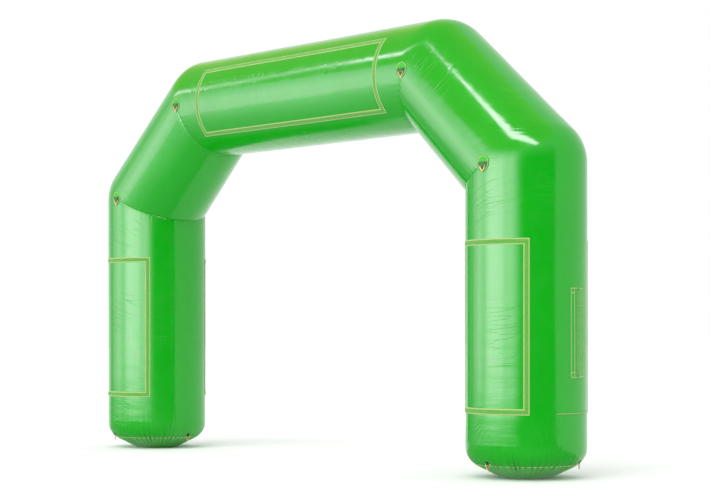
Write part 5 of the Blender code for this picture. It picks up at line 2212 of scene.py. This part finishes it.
@dataclass(frozen=True)
class ZipSlider:
    """Die-cast slider with its crown, and the pull tab whose eye turns on the crown's bar."""

    sizes: ArchSizes
    place: ZipPlace

    plate_wide = 14.0 * MM
    nose_wide = 9.5 * MM
    plate_low = 3.7 * MM
    plate_high = 5.2 * MM
    flange_low = 1.7 * MM
    inner_half = 4.75 * MM
    crown_half = 4.2 * MM
    crown_wire = 1.0 * MM
    crown_bevel = 1.2 * MM
    crown_root = 0.6 * MM
    eye_radius = 2.3 * MM
    eye_half_thick = 0.7 * MM
    eye_half_wide = 2.9 * MM
    pull_long = 37.5 * MM
    pull_thick = 1.6 * MM
    pull_wide = 9.0 * MM
    neck_wide = 5.6 * MM
    neck_start = 2.4 * MM
    rib_sink = 0.3 * MM
    rib_tall = 0.25 * MM
    squareness = 0.45
    corners = 16
    eye_steps = 20
    mouth_share = 0.8
    end_power = 9
    end_least = 0.05
    neck_share = 0.15
    neck_fade = 0.4
    tip_share = 0.14
    tip_least = 0.02
    rib_count = 4
    rib_first = 0.60
    rib_step = 0.08
    rib_half = 0.5 * MM
    rib_reach = 0.36

    def build(self, maker: Maker) -> None:
        """Add the slider and the pull.

        Args:
            maker: Adds pieces.
        """
        place, zinc = self.place, [maker.finishes.zinc]
        body = self.plate().joined(self.flange(-1), self.flange(1), self.crown())
        pull = self.eye().joined(self.tab())
        for name, piece, out in (("zip_slider", body, 0.0), ("zip_pull", pull, place.crown_height)):
            placed = piece.moved(place.matrix(self.sizes, out, place.slider_height))
            maker.add(name + "_casting", placed, zinc, "zip_metal", body=name, stands_for=(name,))

    def block(
        self,
        stations: np.ndarray,
        half_wide: np.ndarray | float,
        middle: np.ndarray | float,
        low: float,
        high: float,
    ) -> Surface:
        """Rounded bar along Z whose width and middle follow its stations.

        Args:
            stations: Places along Z.
            half_wide: Half widths.
            middle: Middles across.
            low: Nearest distance out of the wall.
            high: Farthest distance.
        Returns:
            The surface.
        """
        stations, half_wide, middle = np.broadcast_arrays(stations, half_wide, middle)
        count = self.corners
        turn = (np.arange(count) + 0.5) * 2 * math.pi / count
        ways = (np.cos(turn), np.sin(turn))
        wide, deep = (np.sign(way) * np.abs(way) ** self.squareness for way in ways)
        across = middle[:, None] + half_wide[:, None] * wide
        points = stacked(across, -(low + high) / 2 + (high - low) / 2 * deep, stations[:, None])
        texture = lattice(np.arange(count + 1) * MM, stations)
        surface = Surface.grid(points, texture, round_columns=True)
        return surface.capped(count, points[0].mean(axis=0), points[-1].mean(axis=0))

    def half_width(self, share: np.ndarray) -> np.ndarray:
        """Half width of the slider along its length: a wide mouth that narrows to the nose, ends rounded."""
        half = self.nose_wide + (self.plate_wide - self.nose_wide) * ease(share / self.mouth_share)
        ends = 1.0 - np.abs(2 * share - 1) ** self.end_power
        return half / 2 * np.sqrt(np.clip(ends, self.end_least, 1.0))

    def plate(self) -> Surface:
        """Top plate."""
        share = np.linspace(0.0, 1.0, 25)
        stations = (share - 0.5) * self.place.slider_long
        return self.block(stations, self.half_width(share), 0.0, self.plate_low, self.plate_high)

    def flange(self, sign: int) -> Surface:
        """Side wall that reaches over the teeth.

        Args:
            sign: 1 or -1, the side.
        Returns:
            The surface.
        """
        stations = (np.linspace(0.08, 0.92, 15) - 0.5) * self.place.slider_long
        outer, inner, high = self.plate_wide / 2, self.inner_half, self.plate_high - 0.2 * MM
        return self.block(stations, (outer - inner) / 2, sign * (outer + inner) / 2, self.flange_low, high)

    def crown(self) -> Surface:
        """Bar over the plate that carries the pull, as a bent wire."""
        half, high, low = self.crown_half, self.place.crown_height, self.plate_high - self.crown_root
        bevel = self.crown_bevel
        right = ((half - bevel, high), (half, high - bevel), (half, low))
        left = [(-x, z) for x, z in reversed(right)]
        flat = spline(np.array((*left, (0.0, high), *right)), np.linspace(0.0, 6.0, 25))
        path = stacked(flat[:, 0], -flat[:, 1], 0.0)
        side = np.broadcast_to((0.0, 0.0, 1.0), path.shape)
        return sweep(path, side, np.cross(heading(path), side), disc_section(self.crown_wire, 10))

    def eye(self) -> Surface:
        """Eye of the pull: a ring round the crown's bar."""
        turn = turns(self.eye_steps)
        out = stacked(0.0, np.cos(turn), np.sin(turn))
        side = np.broadcast_to((1.0, 0.0, 0.0), out.shape)
        section = strip_section(2 * self.eye_half_wide, 2 * self.eye_half_thick, 4)
        return sweep(self.eye_radius * out, side, out, section, closed=True)

    def tab(self) -> Surface:
        """Tab of the pull: a waisted plate with a round end and four grip ribs."""
        share = np.linspace(0.0, 1.0, 41)
        stations = -self.neck_start - share * (self.pull_long - self.neck_start)
        broader = ease((share - self.neck_share) / self.neck_fade)
        wide = self.neck_wide + (self.pull_wide - self.neck_wide) * broader
        tip = np.clip((share - (1 - self.tip_share)) / self.tip_share, 0, 1)
        wide = wide * np.sqrt(np.clip(1.0 - tip**2, self.tip_least, 1.0))
        half = self.pull_thick / 2
        plate = self.block(stations[::-1], wide[::-1] / 2, 0.0, -half, half)
        ribs = []
        for number in range(self.rib_count):
            middle = -self.pull_long * (self.rib_first + self.rib_step * number)
            ends = middle + np.array((-self.rib_half, self.rib_half))
            low, high = half - self.rib_sink, half + self.rib_tall
            ribs.append(self.block(ends, self.pull_wide * self.rib_reach, 0.0, low, high))
        return plate.joined(*ribs)


@dataclass(frozen=True)
class SleeveMouth(LegWall):
    """Mouth of the blower sleeve, turned inwards: a bound lip over the slit, and the flat sleeve."""

    height = 0.538
    tall = 27.0 * MM
    wide = 0.450
    margin = 12.0 * MM
    sleeve_long = 0.380
    columns = 140
    edge_wide = 6.0 * MM
    edge_thick = 1.2 * MM
    edge_rise = 4.0 * MM
    edge_lift = 3.1 * MM
    rest_lift = 0.3 * MM
    end_reach = 0.02
    ripple_pitch = 0.03
    waviness = 0.25
    end_share = 0.3
    hang_power = 0.8
    roll_depth = 1.2 * MM
    roll_share = 0.08
    belly_depth = 1.5 * MM
    belly_start = 0.25
    belly_fade = 0.6
    under = ((0.4 * MM, 2.2 * MM), (3.0 * MM, 1.2 * MM), (10.0 * MM, 0.6 * MM))
    sleeve_inset = 4.0 * MM
    sleeve_lean = 0.058
    sleeve_thick = 1.6 * MM
    sleeve_folds = 2.0 * MM
    sleeve_columns = 96
    sleeve_rows = 40
    sleeve_top = 2 * MM
    fold_pitches = (0.06, 0.08)
    cloth_step = 9.4 * MM

    def build(self, maker: Maker) -> None:
        """Add the lip with its binding, and the sleeve.

        Args:
            maker: Adds pieces.
        """
        finishes, rest = maker.finishes, self.rest_lift
        reach = self.wide / 2 + self.margin
        off = np.linspace(-reach, reach, self.columns)
        end = ease((reach - np.abs(off)) / self.end_reach)
        top = self.height + self.tall
        share = np.linspace(0.0, 1.0, 16)
        roll = self.roll_depth * np.sqrt(np.clip(share / self.roll_share, 0, 1))
        belly = self.belly_depth * ease((share - self.belly_start) / self.belly_fade)
        fall = self.tall * np.sin(share * math.pi / 2) ** self.hang_power
        hang = stacked(top - fall, rest + roll + belly)
        profile = np.vstack((hang, np.array(self.under) + (self.height, 0.0)))
        wavy = 1.0 + self.waviness * noise(off / self.ripple_pitch, 0.5, 81)
        full = self.end_share + (1 - self.end_share) * end * wavy
        lift = rest + (profile[:, 1:] - rest) * full[None]
        points = self.on_wall(off[None], profile[:, :1], lift)
        texture = lattice(off, profile[:, 0])
        surface = cloth(points[::-1], texture[::-1], self.out_at(0.0))
        line, out = self.on_wall(off, self.height + self.edge_rise, self.edge_lift), self.out_at(off)
        section = strip_section(self.edge_wide, self.edge_thick, 3)
        edge = sweep(line, np.cross(out, heading(line)), out, section)
        both = surface.joined(together([edge], 1))
        name = "sleeve_mouth_lip"
        maker.add(name + "_cloth", both, [finishes.skin, finishes.binding], "facing", stands_for=(name,))
        self.build_sleeve(maker, top)

    def build_sleeve(self, maker: Maker, top: float) -> None:
        """Add the sleeve inside the leg: a flat tube with soft folds.

        Args:
            maker: Adds pieces.
            top: Height of its upper end.
        """
        columns = self.sleeve_columns
        turn = turns(columns)
        off = self.wide / 2 * np.cos(turn)
        heights = np.linspace(top - self.sleeve_long, top - self.sleeve_top, self.sleeve_rows)[:, None]
        share = (top - heights) / self.sleeve_long
        round_pitch, down_pitch = self.fold_pitches
        folds = self.sleeve_folds * noise(off / round_pitch, heights / down_pitch, 83) * share
        inset = self.sleeve_inset + self.sleeve_lean * share + folds
        points = self.on_wall(off[None], heights, -inset + self.sleeve_thick * np.sin(turn)[None])
        texture = lattice(np.arange(columns + 1) * self.cloth_step, heights[:, 0])
        surface = Surface.grid(points, texture, round_columns=True, flip=True)
        name = "blower_sleeve"
        maker.add(name + "_cloth", surface, [maker.finishes.base], "sleeve", stands_for=(name,))


@dataclass(frozen=True)
class GlowStop:
    """Brightness of the studio wall at a place, with smooth change to the next stop."""

    place: float
    glow: float


def glow_stops(*pairs: tuple) -> tuple:
    """Stops from pairs of place and brightness."""
    return tuple(GlowStop(*pair) for pair in pairs)


@dataclass(frozen=True)
class GlowPanel:
    """Panel that only reflections show. Its glow turns to the rest where the upward stops are zero."""

    name: str
    across: tuple
    up: tuple
    rest: float
    tint: tuple = (1.0, 1.0, 1.0)
    dimming: float = 1.0

    def material(self, low: float, high: float, floor: float, top: float) -> bpy.types.Material:
        """Emission that follows the stops across and up the panel.

        Args:
            low: Place across at the panel's left edge.
            high: Place at its right edge.
            floor: Place up at its lower edge.
            top: Place at its upper edge.
        Returns:
            The material.
        """
        nodes = Nodes(self.name)
        spread = nodes.add("ShaderNodeSeparateXYZ", {0: nodes.surface_place()})
        brightest = max(stop.glow for stop in self.across)
        across = self.ramp(nodes, spread.outputs["X"], self.across, low, high, brightest)
        upward = self.ramp(nodes, spread.outputs["Y"], self.up, floor, top, 1.0)
        level = nodes.math("MULTIPLY", across, brightest * self.dimming)
        excess = nodes.math("MULTIPLY", nodes.math("SUBTRACT", level, self.rest), upward)
        strength = nodes.math("ADD", excess, self.rest)
        matt = {"Base_Color": (0.0, 0.0, 0.0, 1.0), "Roughness": 1.0, "Specular_IOR_Level": 0.0}
        return nodes.finish(**matt, Emission_Color=colour(self.tint), Emission_Strength=strength)

    def ramp(
        self, nodes: Nodes, place: object, stops: tuple, low: float, high: float, scale: float
    ) -> object:
        """Colour ramp through the stops.

        Args:
            nodes: Material that gets the ramp.
            place: Socket of the place from 0 to 1.
            stops: Stops in order.
            low: Place that is 0.
            high: Place that is 1.
            scale: Glow that is white.
        Returns:
            Colour output.
        """
        node = nodes.add("ShaderNodeValToRGB", {"Fac": place})
        elements = node.color_ramp.elements
        for number, stop in enumerate(stops):
            position = min(max((stop.place - low) / (high - low), 0.0), 1.0)
            element = elements[number] if number < 2 else elements.new(position)
            element.position = position
            grey = stop.glow / scale
            element.color = (grey, grey, grey, 1.0)
        return node.outputs["Color"]


class Studio:
    """Pale floor, even white light, glowing wall and ceiling for the reflections, and the camera."""

    floor_reach = 90.0
    surround = 1.0
    key_light = 1.4
    key_angle_degrees = 60.0
    key_from = (0.262, -0.720, 0.643)
    camera_place = (13.437, -11.111, 1.225)
    camera_turn_degrees = 49.35
    focal_pixels = 1872.46
    photo_wide = 710.0
    photo_shift = 82.07
    sensor = 36.0
    wall_radius = 22.0
    wall_high = 14.0
    wall_degrees = (-86.0, 99.0)
    wall_columns = 60
    strip_height = 10.5
    strip_stations = (-24.0, -16.0, -12.0, -9.0, -6.0, 0.4, 1.0, 2.3, 6.0, 13.0)
    strip_middles = (-9.2, -7.9, -7.3, -6.8, -6.3, -4.5, -4.3, -5.1, -5.4, -5.2)
    strip_halves = (1.3, 1.2, 0.6, 0.9, 0.5, 0.12, 0.18, 1.4, 1.5, 1.2)
    ceiling_height = 11.0
    ceiling_ends = (-22.0, 11.0)
    ceiling_front = -16.0
    ceiling_back = (9.0, 2.0)
    ground_reach = (0.01, 21.9)

    around = glow_stops(
        *((-86.0, 0.6), (-74.0, 0.9), (-67.0, 2.2), (-60.0, 2.8), (-50.0, 4.8), (-42.0, 4.2)),
        *((-34.0, 4.0), (-28.0, 7.4), (-17.0, 9.2), (-6.0, 8.8), (4.0, 8.6), (10.0, 6.2)),
        *((24.0, 5.8), (32.0, 3.2), (39.0, 0.7), (46.0, 0.02), (96.0, 0.02), (99.0, 0.6)),
    )
    wall_up = glow_stops((0.0, 1.0), (5.6, 1.0), (14.0, 0.0))
    ground_up = glow_stops((0.0, 0.0), (3.5, 0.1), (6.0, 0.35), (13.0, 0.8), (21.9, 1.0))
    strip_across = glow_stops(
        *((-24.0, 7.0), (-17.0, 7.0), (-13.5, 4.0), (-11.0, 4.0), (-9.0, 12.0)),
        *((-6.0, 8.0), (-1.0, 3.0), (0.8, 4.0), (1.4, 16.0), (13.0, 16.0)),
    )
    strip_up = glow_stops((-1.0, 0.0), (-0.75, 1.0), (0.75, 1.0), (1.0, 0.0))
    ceiling_across = glow_stops((-22.0, 1.0), (-17.0, 0.7), (7.0, 0.7), (11.0, 1.0))
    ceiling_up = glow_stops((0.0, 0.0), (0.22, 1.0), (0.8, 1.0), (1.0, 0.0))
    wall = GlowPanel("studio_wall", around, wall_up, 1.0, (1.03, 0.84, 1.03))
    ground = GlowPanel("studio_ground", around, ground_up, 0.4, dimming=0.6)
    strip = GlowPanel("ceiling_strip", strip_across, strip_up, 0.6, (1.04, 0.78, 1.04))
    ceiling = GlowPanel("studio_ceiling", ceiling_across, ceiling_up, 1.0, (1.0, 1.0, 0.45))

    def build(self) -> None:
        """Set the floor, the world, the panels and the camera."""
        self.add_world()
        self.add_key_light()
        self.add_floor()
        self.add_wall()
        self.add_strip()
        self.add_ceiling()
        self.add_camera()

    def add_world(self) -> None:
        """Even white surroundings."""
        world = bpy.data.worlds.new("studio")
        world.use_nodes = True
        background = world.node_tree.nodes["Background"]
        background.inputs["Color"].default_value = (1.0, 1.0, 1.0, 1.0)
        background.inputs["Strength"].default_value = self.surround
        bpy.context.scene.world = world
        bpy.context.scene.view_settings.view_transform = "Standard"

    def add_key_light(self) -> None:
        """Add a broad soft light from the front that reflections do not show."""
        light = bpy.data.lights.new("key_light", "SUN")
        light.energy = self.key_light
        light.angle = math.radians(self.key_angle_degrees)
        thing = bpy.data.objects.new("key_light", light)
        thing.rotation_euler = Vector(self.key_from).to_track_quat("Z", "Y").to_euler()
        thing.visible_glossy = False
        bpy.context.scene.collection.objects.link(thing)

    def add_floor(self) -> None:
        """Large pale floor under the feet."""
        nodes = Nodes("pale_floor")
        place = nodes.object_place()
        tone = nodes.blend(nodes.noise(place, 3.0), (0.91, 0.91, 0.91), (0.94, 0.94, 0.94))
        paint = nodes.finish(Base_Color=tone, Roughness=0.9, Specular_IOR_Level=0.1)
        reach = self.floor_reach
        mesh = bpy.data.meshes.new("studio_floor")
        corners = [(-reach, -reach, 0), (reach, -reach, 0), (reach, reach, 0), (-reach, reach, 0)]
        mesh.from_pydata(corners, [], [(0, 1, 2, 3)])
        mesh.materials.append(paint)
        floor = bpy.data.objects.new("studio_floor", mesh)
        floor.location.z = -0.5 * MM
        bpy.context.scene.collection.objects.link(floor)

    def add_wall(self) -> None:
        """Add the wall that bends round the front of the arch from its left to its right, and its ground."""
        low, high = self.wall_degrees
        paint = self.wall.material(low, high, 0.0, self.wall_high)
        self.add_panel(self.wall, self.arc((self.wall_radius,) * 2, (0.0, self.wall_high)), paint)
        near, far = self.ground_reach
        paint = self.ground.material(low, high, near, far)
        self.add_panel(self.ground, self.arc((near, far), (1.0 * MM,) * 2), paint)

    def arc(self, radii: tuple, heights: tuple) -> np.ndarray:
        """Band round the arch from one radius and height to another.

        Args:
            radii: Radius of the first edge and of the second.
            heights: Their heights.
        Returns:
            Grid of points.
        """
        turn = np.radians(np.linspace(*self.wall_degrees, self.wall_columns))[None]
        share = np.linspace(0.0, 1.0, 16)[:, None]
        radius = radii[0] + (radii[1] - radii[0]) * share
        height = heights[0] + (heights[1] - heights[0]) * share
        return stacked(radius * np.sin(turn), -radius * np.cos(turn), height)

    def add_strip(self) -> None:
        """Add the strip of light over the arch, which is narrow over its middle."""
        x = np.linspace(self.strip_stations[0], self.strip_stations[-1], 120)
        middle = np.interp(x, self.strip_stations, self.strip_middles)
        half = np.interp(x, self.strip_stations, self.strip_halves)
        y = middle + np.linspace(-1.0, 1.0, 5)[:, None] * half
        points = stacked(x[None], y, self.strip_height)
        self.add_panel(self.strip, points, self.strip.material(float(x[0]), float(x[-1]), -1.0, 1.0))

    def add_ceiling(self) -> None:
        """Add the dim ceiling over the strip."""
        left, right = self.ceiling_ends
        x = np.linspace(left, right, 40)
        back = np.interp(x, self.ceiling_ends, self.ceiling_back)
        y = self.ceiling_front + (back - self.ceiling_front) * np.linspace(0.0, 1.0, 12)[:, None]
        points = stacked(x[None], y, self.ceiling_height)
        self.add_panel(self.ceiling, points, self.ceiling.material(left, right, 0.0, 1.0))

    def add_panel(self, panel: GlowPanel, points: np.ndarray, paint: bpy.types.Material) -> None:
        """Add a panel as part of the stage.

        Args:
            panel: The panel.
            points: Grid of its points.
            paint: Its material.
        """
        rows, columns = points.shape[:2]
        texture = lattice(np.linspace(0, 1, columns), np.linspace(0, 1, rows))
        mesh = Surface.grid(points, texture).mesh(panel.name)
        mesh.materials.append(paint)
        thing = bpy.data.objects.new(panel.name, mesh)
        bpy.context.scene.collection.objects.link(thing)
        thing.visible_camera = False
        thing.visible_shadow = False
        thing.visible_diffuse = False

    def add_camera(self) -> None:
        """Add the camera at the photograph's angle."""
        camera = bpy.data.cameras.new("camera")
        camera.sensor_fit = "HORIZONTAL"
        camera.sensor_width = self.sensor
        camera.lens = self.focal_pixels / self.photo_wide * self.sensor
        camera.shift_y = self.photo_shift / self.photo_wide
        camera.clip_end = 500.0
        thing = bpy.data.objects.new("camera", camera)
        thing.location = self.camera_place
        thing.rotation_euler = (math.pi / 2, 0.0, math.radians(self.camera_turn_degrees))
        bpy.context.scene.collection.objects.link(thing)
        bpy.context.scene.camera = thing


def main() -> None:
    """Build the arch's looks and the studio."""
    logging.basicConfig(level=logging.INFO, format="%(name)s %(message)s")
    maker = Maker(Finishes())
    shape = SkinShape(ArchSizes())
    Skin(shape).build(maker)
    for side in Side:
        FootBase(shape, side).build(maker)
    build_banners(maker, shape)
    build_ties(maker, shape)
    ReleaseZip(shape, ZIP_TURN, ZipPlace()).build(maker)
    SleeveMouth(shape, ZIP_TURN).build(maker)
    Studio().build()


if __name__ == "__main__":
    main()
